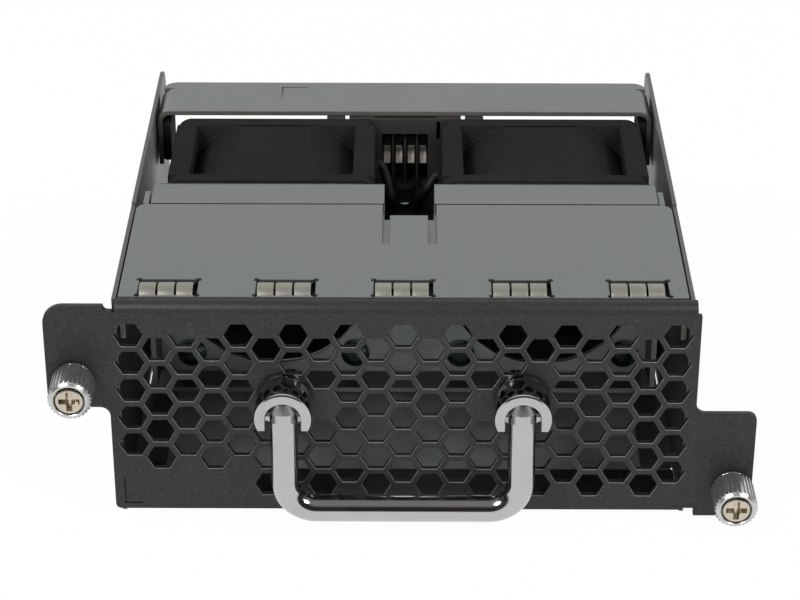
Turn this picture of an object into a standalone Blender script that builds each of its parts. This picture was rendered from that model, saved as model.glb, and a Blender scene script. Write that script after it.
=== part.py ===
"""Switch fan tray: a sheet-metal drawer with two 40 mm fans, a honeycomb front panel,
a swinging pull handle and two captive thumbscrews.

The tray is drawn in its panel frame: the panel's front face is the plane y = 0, its lower
edge is z = 0, +Y runs back into the chassis and x = 0 is midway between the side walls.
An empty carries every piece and sets the origin under the middle of the footprint.
"""

from math import asin, atan2, ceil, cos, pi, radians, sin, sqrt, tan

import bmesh
import bpy
from mathutils import Matrix, Vector

MM = 0.001

# Clearance between touching pieces
GAP = 0.3 * MM

# Sheet metal
PANEL_SHEET = 1.2 * MM
COVER_SHEET = 1.0 * MM
WALL_SHEET = 0.8 * MM
PAN_SHEET = 0.9 * MM
BRACKET_SHEET = 1.0 * MM
BEND_RADIUS = 1.6 * MM
FOLD_RADIUS = 0.5 * MM

# Body
BODY_TOP = 42.05 * MM
REAR_BAY = 24.1 * MM
WALL_TIP_RADIUS = 3.0 * MM
WALL_STEP = 0.35 * MM
WALL_FOOT_WIDTH = 6.0 * MM
WALL_FOOT_MARGIN = 2.0 * MM
PAN_INSET = 2.5 * MM

# Front panel
FACE_MARGIN = 1.0 * MM
FACE_CORNER = 1.0 * MM
FACE_SHOULDER = 0.4 * MM
LIP_INSET_LEFT = 1.7 * MM
LIP_INSET_RIGHT = 0.7 * MM
LIP_DEPTH = 2.5 * MM
LIP_CORNER = 0.3 * MM
LEDGE_DEPTH = 14.0 * MM
FOOT_DEPTH = 12.0 * MM
EAR_WIDTH = 10.85 * MM
LEFT_EAR_HEIGHT = 20.4 * MM
LEFT_EAR_DROP = 0.35 * MM
RIGHT_EAR_TOP = 20.3 * MM
LEFT_EAR_ROUND = 3.5 * MM
EAR_ROUND = 1.5 * MM
EAR_FILLET = 1.8 * MM
RELIEF_WIDTH = 1.9 * MM
RELIEF_DEPTH = 1.0 * MM
STEP_INSET = 1.5 * MM
STEP_OUTSET = 0.6 * MM
STEP_HEIGHT = 0.4 * MM
MARK_WIDTH = 0.4 * MM
MARK_DEPTH = 0.35 * MM
FACE_MARK_LONG = 5.4 * MM
FACE_MARK_SHORT = 3.0 * MM
FACE_MARK_INSET = 1.9 * MM
FACE_MARK_Z = 1.3 * MM

# Honeycomb
HEX_COLUMNS = 21
HEX_ROWS = 6
LABEL_COLUMNS = 5
HEX_SHARE = 0.8813
HEX_SIDE_MARGIN = 3.93 * MM
HEX_TOP_MARGIN = 6.17 * MM
HEX_FOOT_MARGIN = 5.256 * MM
WEB_HALF_WIDTH = 7.2 * MM
WEB_HALF_HEIGHT = 6.2 * MM

# Front cover
COVER_FRONT = 2.8 * MM
COVER_REAR = 38.9 * MM
COVER_CORNER = 2.0 * MM
COVER_SKIRT = 8.0 * MM
NOTCH_LEFT = -3.9 * MM
NOTCH_RIGHT = 6.0 * MM
NOTCH_DEPTH = 15.8 * MM
TAB_LEFT = -2.6 * MM
TAB_RIGHT = 4.45 * MM
TAB_SETBACK = 4.4 * MM

# Spring fingers in the cover
SPRING_STRIPS = 5
SPRING_MARGIN = 9.6 * MM
SLOT_WIDTH = 10.4 * MM
SLOT_FRONT = 3.1 * MM
SLOT_REAR = 9.3 * MM
SLOT_RELIEF = 0.5 * MM
SPRING_SIDE = 0.5 * MM
SPRING_SHEET = 0.25 * MM
FINGERS = 3
FINGER_SLIT = 0.35 * MM
FINGER_RISE = 0.55 * MM
FINGER_STEPS = 8
SPRING_TAIL = 2.2 * MM

# Fan bracket
STRIP_INSET = {"left": 3.6 * MM, "right": 3.4 * MM}
STRIP_CORNER = 2.3 * MM
STRIP_DEPTH = 9.7 * MM
BRACKET_INSET = 2.2 * MM
UNDERLAY_REACH = 18.9 * MM
BRACKET_FOOT = 7.5 * MM
GATE_LEFT = -3.7 * MM
GATE_RIGHT = 5.7 * MM
GATE_SETBACK = 3.9 * MM
GATE_DEPTH = 12.05 * MM
CHEEK_BOTTOM = 2.0 * MM
CHEEK_BEND = 2.0 * MM
CHEEK_RELIEF = 3.0 * MM
CHEEK_TAB = 5.0 * MM

# Rear crossbar
BAR_SETBACK = 2.0 * MM
BAR_WIDTH = 14.3 * MM
BAR_CORNER = 2.75 * MM
BAR_BEND = 1.5 * MM
BAR_SKIRT = 11.0 * MM
BAR_SKIRT_INSET = 3.0 * MM
BAR_END_INSET = 0.5 * MM
BAR_MARK_X = -24.9 * MM
BAR_MARK_SETBACK = 2.5 * MM
BAR_MARK_LENGTH = 4.9 * MM

# Fans
FAN_BASE = 1.4 * MM
FAN_HEADROOM = 0.65 * MM
FAN_DEPTH = 28.0 * MM
FAN_INNER_GAP = {"left": 5.5 * MM, "right": 7.05 * MM}
FAN_OUTER_GAP = {"left": 5.3 * MM, "right": 3.75 * MM}
FAN_CORNER = 3.0 * MM
FAN_FLANGE = 2.7 * MM
FAN_BORE_WALL = 1.3 * MM
FAN_BARREL_WALL = 2.3 * MM
FAN_COLUMN_SHARE = 0.0725
FAN_COLUMN_INSET = 0.2 * MM
FAN_HOLE_SHARE = 0.1
GASKET_THICKNESS = 1.2 * MM
GASKET_INSET = 0.3 * MM
HUB_RADIUS = 10.5 * MM
HUB_WALL = 1.0 * MM
HUB_CROWN = 1.2 * MM
HUB_BOSS_WALL = 1.5 * MM
HUB_CLEARANCE = 1.5 * MM
ROTOR_SETBACK = 3.0 * MM
BLADES = 7
BLADE_THICKNESS = 1.0 * MM
BLADE_SHARE = 0.85
BLADE_ANGLE = radians(54.0)
BLADE_CAMBER = 1.6 * MM
BLADE_STEPS = 4
TIP_CLEARANCE = 0.5 * MM
MOTOR_BASE = 2.3 * MM
MOTOR_BASE_INSET = 0.2 * MM
STRUTS = 4
STRUT_WIDTH = 2.4 * MM
STATOR_INSET = 6.2 * MM
STATOR_RIM = 1.2 * MM
STATOR_NECK_SHARE = 0.45
STACK_SHARE = 0.35
BEARING_INSET = 4.0 * MM
BEARING_WALL_SHARE = 0.1524
SHAFT_RADIUS = 1.25 * MM

# Fan screws
SCREW_SHANK = 1.8 * MM
SCREW_HEAD = 2.9 * MM
SCREW_HEAD_HEIGHT = 1.6 * MM
SCREW_CROWN_SHARE = 0.6
SCREW_LENGTH = 12.0 * MM
CROSS_WIDTH = 0.6 * MM
CROSS_DEPTH = 0.8 * MM

# Connector between the fans
PLUG_X = 0.1 * MM
PLUG_WIDTH = 12.6 * MM
PLUG_SETBACK = 0.7 * MM
PLUG_INSET = 7.0 * MM
PLUG_DROP = 17.05 * MM
CONTACTS = 4
CONTACT_PITCH = 2.42 * MM
CONTACT_WIDTH = 1.3 * MM
CONTACT_SHEET = 0.4 * MM
CONTACT_DROP = 7.0 * MM
CONTACT_CURL = 1.2 * MM
CHANNEL_DROP = 4.35 * MM
CHANNEL_DEPTH = 6.0 * MM
CHANNEL_SILL = 1.0 * MM
CHANNEL_STEP = 0.05 * MM
PLUG_RECESS = 1.2 * MM
SOCKET_WALL = 1.6 * MM
SOCKET_DEPTH = 7.5 * MM
TAIL_HEIGHT = 0.8 * MM
SHELF_WIDTH = 10.2 * MM
SHELF_REACH = 13.0 * MM
SHELF_INSET = 1.0 * MM
SHELF_FOOT = 12.0 * MM
SHELF_SCREW_REACH = 6.2 * MM
SHELF_SCREW_RADIUS = 1.4 * MM
SHELF_SCREW_HEAD = 1.0 * MM
SHELF_SCREW_SHANK = 0.8 * MM
SHELF_SCREW_LENGTH = 3.2 * MM

# Fan leads
LEAD_RADIUS = 1.0 * MM
LEAD_SPREAD = 2.6 * MM
LEAD_DROP = 7.55 * MM
LEAD_REACH = {"left": 8.0 * MM, "right": 13.0 * MM}
LEAD_STUB = 0.7 * MM
LEAD_SLOPE = 0.1 * MM
LEAD_SAG = 2.2 * MM
LEAD_LEAN = 0.3 * MM
LEAD_APPROACH = 5.0 * MM
LEAD_LIFT = 2.6 * MM
LEAD_REST = 1.5 * MM

# Handle
POST_SPACING = 41.8 * MM
POST_RADIUS = 5.05 * MM
POST_LENGTH = 7.8 * MM
POST_SILL = 1.6 * MM
POST_DROP = 18.45 * MM
POST_EDGE = 0.35 * MM
STUD_RADIUS = 1.9 * MM
STUD_OVERHANG = 0.5 * MM
NUT_RADIUS = 3.9 * MM
NUT_HEIGHT = 2.4 * MM
BAIL_RADIUS = 2.45 * MM
BAIL_Y = -4.6 * MM
BAIL_BAR_Z = 3.3 * MM
BAIL_BEND = 5.6 * MM
BAIL_BEND_STEPS = 5
BAIL_END = 2.0 * MM
BAIL_CHAMFER = 0.8 * MM
PIVOT_DROP = 0.2 * MM
PIVOT_RADIUS = 0.9 * MM
PIVOT_RECESS = 0.1 * MM
SLOT_SIDE = 0.7 * MM

# Thumbscrews
KNOB_OUTSET = {"left": 5.9 * MM, "right": 7.2 * MM}
LEFT_KNOB_RISE = 6.0 * MM
RIGHT_KNOB_Z = 5.27 * MM
KNOB_RADIUS = 3.85 * MM
KNOB_LENGTH = 7.0 * MM
KNOB_STANDOFF = 1.1 * MM
KNURLS = 18
KNURL_DEPTH = 0.3 * MM
BOLT_RADIUS = 1.5 * MM
BOLT_HEAD = 2.45 * MM
BOLT_HEAD_HEIGHT = 1.6 * MM
BOLT_HEAD_EDGE = 0.2 * MM
BOLT_TIP = 0.6 * MM
BOLT_CROSS_WIDTH = 0.8 * MM
BOLT_CROSS_DEPTH = 1.2 * MM
BOLT_CROSS_SHARE = 0.68
FERRULE_WALL = 0.75 * MM
FERRULE_SHOULDER = 3.3 * MM
KNOB_WEB = 1.6 * MM
BOLT_TRAVEL = 4.0 * MM
RETAINER_RADIUS = 2.7 * MM
RETAINER_HEIGHT = 0.7 * MM
BOLT_OVERHANG = 2.0 * MM

# Facets of round shapes
FINE_SIDES = 24
ROUND_SIDES = 16
SMALL_SIDES = 10
ARC_STEPS = 3
LIP_STEPS = 6
BARREL_STEPS = 6

# How far a cutter runs past the face that it cuts
PAST = 1.0 * MM

# Plates whose wide faces hold rows of holes
PERFORATED = ("front_panel", "front_cover")

# Places that follow from the sizes above
SIDES = ("left", "right")
SIGN = {"left": -1.0, "right": 1.0}
FAN_SIZE = BODY_TOP - FAN_BASE - FAN_HEADROOM
FAN_BORE = FAN_SIZE - 2 * FAN_BORE_WALL
FAN_COLUMN = FAN_COLUMN_SHARE * FAN_SIZE
FAN_HOLE_INSET = FAN_HOLE_SHARE * FAN_SIZE
FAN_Z = FAN_BASE + FAN_SIZE / 2
HALF_BODY = FAN_INNER_GAP["left"] + FAN_SIZE + FAN_OUTER_GAP["left"]
FAN_X = {side: SIGN[side] * (FAN_INNER_GAP[side] + FAN_SIZE / 2) for side in SIDES}
WALL_INNER = HALF_BODY - WALL_SHEET
COVER_HALF = WALL_INNER - GAP
COVER_BOTTOM = BODY_TOP - COVER_SHEET
PAN_TOP = -GAP
PAN_BOTTOM = PAN_TOP - PAN_SHEET
HALF_FACE = HALF_BODY + FACE_MARGIN
EAR_REACH = HALF_FACE + EAR_WIDTH
LEFT_EAR_TOP = BODY_TOP - LEFT_EAR_DROP
LEFT_EAR_BOTTOM = LEFT_EAR_TOP - LEFT_EAR_HEIGHT
HEX_COLUMN_PITCH = 2 * (HALF_FACE - HEX_SIDE_MARGIN) / (HEX_COLUMNS - 1)
HEX_ROW_PITCH = (BODY_TOP - HEX_TOP_MARGIN - HEX_FOOT_MARGIN) / (HEX_ROWS - 0.5)
HEX_FLAT = HEX_SHARE * sqrt(HEX_COLUMN_PITCH * HEX_ROW_PITCH)
SPRING_PITCH = 2 * (HALF_BODY - SPRING_MARGIN) / (SPRING_STRIPS - 1)
SPRING_TOP = COVER_BOTTOM - GAP
SPRING_BOTTOM = SPRING_TOP - SPRING_SHEET
LEDGE_TOP = SPRING_BOTTOM - GAP
LEDGE_BOTTOM = LEDGE_TOP - PANEL_SHEET
STRIP_FRONT = COVER_REAR + GAP
PARTITION_REAR = COVER_REAR + STRIP_DEPTH
PARTITION_FRONT = PARTITION_REAR - BRACKET_SHEET
GASKET_FRONT = PARTITION_REAR + GAP
FAN_FRONT = GASKET_FRONT + GASKET_THICKNESS + GAP
FAN_REAR = FAN_FRONT + FAN_DEPTH
HUB_LENGTH = FAN_DEPTH - ROTOR_SETBACK - MOTOR_BASE - HUB_CLEARANCE
STATOR_LENGTH = HUB_LENGTH - STATOR_INSET
BEARING_LENGTH = STATOR_LENGTH - BEARING_INSET
BEARING_WALL = BEARING_WALL_SHARE * HUB_RADIUS
WALL_REAR = FAN_REAR + REAR_BAY
PAN_REAR = WALL_REAR - PAN_INSET
BAR_FRONT = FAN_REAR + BAR_SETBACK
BAR_REAR = BAR_FRONT + BAR_WIDTH
PLUG_FRONT = FAN_REAR + PLUG_SETBACK
PLUG_REAR = WALL_REAR - PLUG_INSET
PLUG_BOTTOM = BODY_TOP - PLUG_DROP
CHANNEL_TOP = BODY_TOP - CHANNEL_DROP
CONTACT_TIP_Z = CHANNEL_TOP - CONTACT_DROP
SHELF_TOP = PLUG_BOTTOM - GAP
SHELF_FRONT = PLUG_FRONT - SHELF_REACH
SHELF_SCREW_Y = PLUG_FRONT - SHELF_SCREW_REACH
POST_X = {side: SIGN[side] * POST_SPACING / 2 for side in SIDES}
POST_Z = BODY_TOP - POST_DROP
PIVOT_Z = POST_Z - PIVOT_DROP
KNOB_PLACE = {
    "left": (-HALF_FACE - KNOB_OUTSET["left"], LEFT_EAR_BOTTOM + LEFT_KNOB_RISE),
    "right": (HALF_FACE + KNOB_OUTSET["right"], RIGHT_KNOB_Z),
}
KNOB_BACK = -KNOB_STANDOFF
KNOB_FRONT = KNOB_BACK - KNOB_LENGTH


def clear_scene():
    for obj in list(bpy.data.objects):
        bpy.data.objects.remove(obj, do_unlink=True)
    for collection in list(bpy.data.collections):
        bpy.data.collections.remove(collection)


clear_scene()
PARTS = bpy.data.collections.new("switch_fan_tray")
CUTTERS = bpy.data.collections.new("cutters")
bpy.context.scene.collection.children.link(PARTS)
bpy.context.scene.collection.children.link(CUTTERS)
TRAY = bpy.data.objects.new("tray_frame", None)
PARTS.objects.link(TRAY)


# Finishes


def finish(name, colour, roughness, metallic):
    """A Principled material with the piece's own colour."""
    material = bpy.data.materials.new(name)
    material.use_nodes = True
    shader = material.node_tree.nodes["Principled BSDF"]
    shader.inputs["Base Color"].default_value = (*colour, 1.0)
    shader.inputs["Roughness"].default_value = roughness
    shader.inputs["Metallic"].default_value = metallic
    return material


PAINT = {"colour": (0.035, 0.037, 0.037), "roughness": 0.55, "metallic": 0.2}
ZINC = {"colour": (0.22, 0.25, 0.235), "roughness": 0.5, "metallic": 0.55}
STEEL = {"colour": (0.5, 0.49, 0.45), "roughness": 0.3, "metallic": 1.0}
CHROME = {"colour": (0.75, 0.75, 0.75), "roughness": 0.08, "metallic": 1.0}
NICKEL = {"colour": (0.6, 0.62, 0.62), "roughness": 0.3, "metallic": 1.0}
WARM_STEEL = {"colour": (0.6, 0.54, 0.43), "roughness": 0.25, "metallic": 1.0}
FAN_PLASTIC = {"colour": (0.02, 0.021, 0.022), "roughness": 0.45, "metallic": 0.0}
BLACK_PLASTIC = {"colour": (0.03, 0.03, 0.03), "roughness": 0.5, "metallic": 0.0}
FOAM = {"colour": (0.01, 0.01, 0.01), "roughness": 0.95, "metallic": 0.0}
COPPER = {"colour": (0.45, 0.2, 0.09), "roughness": 0.4, "metallic": 0.9}
BRONZE = {"colour": (0.4, 0.28, 0.12), "roughness": 0.4, "metallic": 1.0}
SLEEVE = {"colour": (0.012, 0.012, 0.014), "roughness": 0.6, "metallic": 0.0}


# Outlines


def rounded(corners, steps=ARC_STEPS):
    """A closed outline from corners (u, v, radius), each rounded by an arc."""
    points = []
    for index, (u, v, radius) in enumerate(corners):
        here = Vector((u, v))
        if radius == 0:
            points.append((u, v))
            continue
        back = (Vector(corners[index - 1][:2]) - here).normalized()
        ahead = (Vector(corners[(index + 1) % len(corners)][:2]) - here).normalized()
        half = back.angle(ahead) / 2
        centre = here + (back + ahead).normalized() * radius / sin(half)
        first = here + back * radius / tan(half) - centre
        turn = -first.angle_signed(here + ahead * radius / tan(half) - centre)
        start = atan2(first.y, first.x)
        for step in range(steps + 1):
            angle = start + turn * step / steps
            points.append((centre.x + radius * cos(angle), centre.y + radius * sin(angle)))
    return points


def box_outline(left, right, low, high, radius=0.0):
    corners = ((left, low), (right, low), (right, high), (left, high))
    return rounded([(u, v, radius) for u, v in corners])


def circle(u, v, radius, sides=ROUND_SIDES):
    return [
        (u + radius * cos(2 * pi * k / sides), v + radius * sin(2 * pi * k / sides))
        for k in range(sides)
    ]


def relieved_slot(left, right, low, high, radius):
    """A rectangle with a small round relief at each corner."""
    corners = ((left, low, pi / 2), (right, low, pi), (right, high, 3 * pi / 2), (left, high, 0))
    points = []
    for u, v, start in corners:
        for step in range(6):
            angle = start + 1.5 * pi * step / 5
            points.append((u + radius * cos(angle), v + radius * sin(angle)))
    return points


# Meshes

PLANES = {
    "X": Matrix(((0, 0, 1, 0), (1, 0, 0, 0), (0, 1, 0, 0), (0, 0, 0, 1))),
    "Y": Matrix(((1, 0, 0, 0), (0, 0, -1, 0), (0, 1, 0, 0), (0, 0, 0, 1))),
    "Z": Matrix.Identity(4),
}
AXES = {"X": Vector((1, 0, 0)), "Y": Vector((0, 1, 0)), "Z": Vector((0, 0, 1))}


def mesh_of_curve(curve):
    """The curve as a welded mesh with its faces pointing out."""
    holder = bpy.data.objects.new("holder", curve)
    CUTTERS.objects.link(holder)
    graph = bpy.context.evaluated_depsgraph_get()
    mesh = bpy.data.meshes.new_from_object(holder.evaluated_get(graph))
    bpy.data.objects.remove(holder, do_unlink=True)
    bpy.data.curves.remove(curve)
    shape = bmesh.new()
    shape.from_mesh(mesh)
    bmesh.ops.remove_doubles(shape, verts=shape.verts, dist=1e-6)
    bmesh.ops.recalc_face_normals(shape, faces=shape.faces)
    shape.to_mesh(mesh)
    shape.free()
    return mesh


def extruded(outlines, start, end, axis):
    """A flat outline, less its holes, drawn out along an axis from start to end."""
    curve = bpy.data.curves.new("outline", "CURVE")
    curve.dimensions = "2D"
    curve.fill_mode = "BOTH"
    curve.extrude = (end - start) / 2
    for outline in outlines:
        spline = curve.splines.new("POLY")
        spline.points.add(len(outline) - 1)
        for point, (u, v) in zip(spline.points, outline):
            point.co = (u, v, 0.0, 1.0)
        spline.use_cyclic_u = True
    mesh = mesh_of_curve(curve)
    mesh.transform(Matrix.Translation(AXES[axis] * (start + end) / 2) @ PLANES[axis])
    return mesh


def box(x, y, z):
    """A box mesh between pairs of coordinates."""
    shape = bmesh.new()
    bmesh.ops.create_cube(shape, size=1.0)
    scale = Vector((x[1] - x[0], y[1] - y[0], z[1] - z[0]))
    bmesh.ops.scale(shape, vec=scale, verts=shape.verts)
    middle = Vector((sum(x) / 2, sum(y) / 2, sum(z) / 2))
    bmesh.ops.translate(shape, vec=middle, verts=shape.verts)
    mesh = bpy.data.meshes.new("box")
    shape.to_mesh(mesh)
    shape.free()
    return mesh


def rod(radius, start, end, axis, sides=ROUND_SIDES, end_radius=None):
    """A cylinder or cone mesh along an axis through the origin."""
    shape = bmesh.new()
    bmesh.ops.create_cone(
        shape,
        cap_ends=True,
        segments=sides,
        radius1=radius,
        radius2=radius if end_radius is None else end_radius,
        depth=end - start,
        matrix=Matrix.Translation((0, 0, (start + end) / 2)),
    )
    mesh = bpy.data.meshes.new("rod")
    shape.to_mesh(mesh)
    shape.free()
    mesh.transform(AXES["Z"].rotation_difference(AXES[axis]).to_matrix().to_4x4())
    return mesh


# Objects


def smooth(mesh, angle=35.0):
    mesh.shade_smooth()
    mesh.set_sharp_from_angle(angle=radians(angle))


def piece(name, mesh, look, location=(0, 0, 0), round_shape=False):
    """One sub-part, placed in the tray's frame."""
    obj = bpy.data.objects.new(name, mesh)
    PARTS.objects.link(obj)
    obj.parent = TRAY
    obj.location = location
    mesh.name = name
    mesh.materials.clear()
    mesh.materials.append(finish(name + "_finish", **look))
    if round_shape:
        smooth(mesh)
    return obj


def helper(name, mesh, location=(0, 0, 0)):
    """A body that another piece is cut or joined with."""
    obj = bpy.data.objects.new(name, mesh)
    CUTTERS.objects.link(obj)
    obj.parent = TRAY
    obj.location = location
    obj.hide_render = True
    obj.display_type = "WIRE"
    return obj


def combine(target, operation, name, mesh, location=(0, 0, 0)):
    """Adds a Boolean. The exact solver tears wide faces with many holes, so those take the other."""
    modifier = target.modifiers.new(name, "BOOLEAN")
    modifier.operation = operation
    modifier.solver = "MANIFOLD" if target.name in PERFORATED else "EXACT"
    modifier.object = helper(f"{target.name}_{name}", mesh, location)


def join(target, name, mesh, location=(0, 0, 0)):
    combine(target, "UNION", name, mesh, location)


def cut(target, name, mesh, location=(0, 0, 0)):
    combine(target, "DIFFERENCE", name, mesh, location)


def turned(name, profile, look, location, sides=ROUND_SIDES):
    """A turned piece about the Y axis. The profile (radius, y) runs down its outer side."""
    closed = profile[0][0] > 0
    shape = bmesh.new()
    corners = [shape.verts.new((radius, 0, y)) for radius, y in profile]
    for first, second in zip(corners, corners[1:]):
        shape.edges.new((first, second))
    if closed:
        shape.edges.new((corners[-1], corners[0]))
    mesh = bpy.data.meshes.new(name)
    shape.to_mesh(mesh)
    shape.free()
    obj = piece(name, mesh, look, location)
    obj.rotation_euler = (-pi / 2, 0, 0)
    screw = obj.modifiers.new("Turn", "SCREW")
    screw.axis = "Z"
    screw.steps = sides
    screw.render_steps = sides
    screw.use_merge_vertices = True
    screw.merge_threshold = 0.00001
    screw.use_smooth_shade = False
    return obj


def cross_recess(obj, face_y, depth, width, reach):
    """Cuts a cross-head recess into a screw head that faces the front."""
    x, _, z = obj.location
    for turn, (half_x, half_z) in enumerate(((reach, width / 2), (width / 2, reach))):
        slot = box((-half_x, half_x), (-depth, depth), (-half_z, half_z))
        cut(obj, f"recess_{turn}", slot, (x, face_y, z))


# Chassis


def hex_outline(x, z):
    radius = HEX_FLAT / sqrt(3.0)
    return circle(x, z, radius, 6)


def honeycomb():
    """The panel's hexagons, left out of the label area and of the webs under the posts."""
    outlines = []
    for column in range(HEX_COLUMNS):
        x = (column - (HEX_COLUMNS - 1) / 2) * HEX_COLUMN_PITCH
        rows = HEX_ROWS - 1 if column < LABEL_COLUMNS else HEX_ROWS
        for row in range(rows):
            z = BODY_TOP - HEX_TOP_MARGIN - (row + 0.5 * (column % 2)) * HEX_ROW_PITCH
            at_post = any(
                ((x - post) / WEB_HALF_WIDTH) ** 2 + ((z - POST_Z) / WEB_HALF_HEIGHT) ** 2 < 1
                for post in POST_X.values()
            )
            if not at_post:
                outlines.append(hex_outline(x, z))
    return outlines


def front_panel():
    """The painted panel: face, two ears, a bent lip, a sunk ledge and a foot."""
    face_top = BODY_TOP - BEND_RADIUS
    lip_left = LIP_INSET_LEFT - HALF_FACE
    lip_right = HALF_FACE - LIP_INSET_RIGHT
    relief_left = lip_left - RELIEF_WIDTH
    relief_floor = LEFT_EAR_TOP - RELIEF_DEPTH
    relief_round = 0.4 * RELIEF_WIDTH
    step_left = HALF_FACE - STEP_INSET
    step_right = HALF_FACE + STEP_OUTSET
    edge = rounded([
        (-HALF_FACE, 0, FACE_CORNER),
        (step_left, 0, 0),
        (step_left, STEP_HEIGHT, 0),
        (step_right, STEP_HEIGHT, 0),
        (step_right, PAN_BOTTOM, 0),
        (EAR_REACH, PAN_BOTTOM, EAR_ROUND),
        (EAR_REACH, RIGHT_EAR_TOP, EAR_ROUND),
        (HALF_FACE, RIGHT_EAR_TOP, EAR_FILLET),
        (HALF_FACE, face_top - FACE_SHOULDER, 0),
        (lip_right, face_top - FACE_SHOULDER, 0),
        (lip_right, face_top, 0),
        (lip_left, face_top, 0),
        (lip_left, relief_floor, relief_round),
        (relief_left, relief_floor, relief_round),
        (relief_left, LEFT_EAR_TOP, 0),
        (-EAR_REACH, LEFT_EAR_TOP, LEFT_EAR_ROUND),
        (-EAR_REACH, LEFT_EAR_BOTTOM, EAR_ROUND),
        (-HALF_FACE, LEFT_EAR_BOTTOM, EAR_FILLET),
    ])
    holes = honeycomb()
    holes += [circle(x, POST_Z, STUD_RADIUS + GAP, SMALL_SIDES) for x in POST_X.values()]
    collar = BOLT_RADIUS + GAP + FERRULE_WALL + GAP
    holes += [circle(x, z, collar, ROUND_SIDES) for x, z in KNOB_PLACE.values()]
    panel = piece("front_panel", extruded([edge, *holes], 0, PANEL_SHEET, "Y"), PAINT)
    lip = rounded([
        (0, face_top - FOLD_RADIUS, 0),
        (PANEL_SHEET, face_top - FOLD_RADIUS, 0),
        (PANEL_SHEET, LEDGE_BOTTOM, 0),
        (LIP_DEPTH, LEDGE_BOTTOM, 0),
        (LIP_DEPTH, BODY_TOP, LIP_CORNER),
        (0, BODY_TOP, BEND_RADIUS),
    ], LIP_STEPS)
    join(panel, "lip", extruded([lip], lip_left, lip_right, "X"))
    ledge_half = COVER_HALF - COVER_SHEET - GAP
    inside = PANEL_SHEET / 2
    ledge = box((-ledge_half, ledge_half), (inside, LEDGE_DEPTH), (LEDGE_BOTTOM, LEDGE_TOP))
    join(panel, "ledge", ledge)
    foot = rounded([
        (inside, 0, 0),
        (FOOT_DEPTH, 0, FOLD_RADIUS),
        (FOOT_DEPTH, PANEL_SHEET, FOLD_RADIUS),
        (inside, PANEL_SHEET, 0),
    ])
    join(panel, "foot", extruded([foot], -COVER_HALF, COVER_HALF, "X"))
    mark_x = FACE_MARK_INSET - HALF_FACE
    upright_x = (mark_x - MARK_WIDTH / 2, mark_x + MARK_WIDTH / 2)
    upright_z = (FACE_MARK_Z - MARK_WIDTH / 2, FACE_MARK_Z + FACE_MARK_LONG)
    cut(panel, "mark_upright", box(upright_x, (-MARK_DEPTH, MARK_DEPTH), upright_z))
    level_x = (mark_x, mark_x + FACE_MARK_SHORT)
    level_z = (FACE_MARK_Z - MARK_WIDTH / 2, FACE_MARK_Z + MARK_WIDTH / 2)
    cut(panel, "mark_level", box(level_x, (-MARK_DEPTH, MARK_DEPTH), level_z))


def base_pan():
    """The flat floor between the walls, which the tray stands on."""
    edge = rounded([
        (-COVER_HALF, COVER_FRONT, 0),
        (COVER_HALF, COVER_FRONT, 0),
        (COVER_HALF, PAN_REAR, COVER_CORNER),
        (-COVER_HALF, PAN_REAR, COVER_CORNER),
    ])
    piece("base_pan", extruded([edge], PAN_BOTTOM, PAN_TOP, "Z"), ZINC)


def side_wall(side):
    """A side wall with inward feet that lie on the floor."""
    sign = SIGN[side]
    clear_of_lip = LEDGE_BOTTOM - GAP
    edge = rounded([
        (PANEL_SHEET + GAP, PAN_BOTTOM, 0),
        (WALL_REAR, PAN_BOTTOM, COVER_CORNER),
        (WALL_REAR, BODY_TOP, WALL_TIP_RADIUS),
        (STRIP_FRONT, BODY_TOP, 0),
        (STRIP_FRONT, BODY_TOP - WALL_STEP, 0),
        (COVER_FRONT, BODY_TOP - WALL_STEP, 0),
        (COVER_FRONT, clear_of_lip, 0),
        (PANEL_SHEET + GAP, clear_of_lip, 0),
    ])
    inner, outer = sorted((sign * WALL_INNER, sign * HALF_BODY))
    wall = piece(f"{side}_side_wall", extruded([edge], inner, outer, "X"), ZINC)
    foot_x = sorted((sign * (WALL_INNER - WALL_FOOT_WIDTH), sign * (WALL_INNER + WALL_SHEET / 2)))
    foot_front = PARTITION_REAR - BRACKET_FOOT
    front_foot = (FOOT_DEPTH + WALL_FOOT_MARGIN, foot_front - WALL_FOOT_MARGIN)
    rear_foot = (PARTITION_REAR + WALL_FOOT_MARGIN, PAN_REAR)
    join(wall, "front_foot", box(foot_x, front_foot, (0, WALL_SHEET)))
    join(wall, "rear_foot", box(foot_x, rear_foot, (0, WALL_SHEET)))


def spring_places():
    return [(k - (SPRING_STRIPS - 1) / 2) * SPRING_PITCH for k in range(SPRING_STRIPS)]


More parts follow.
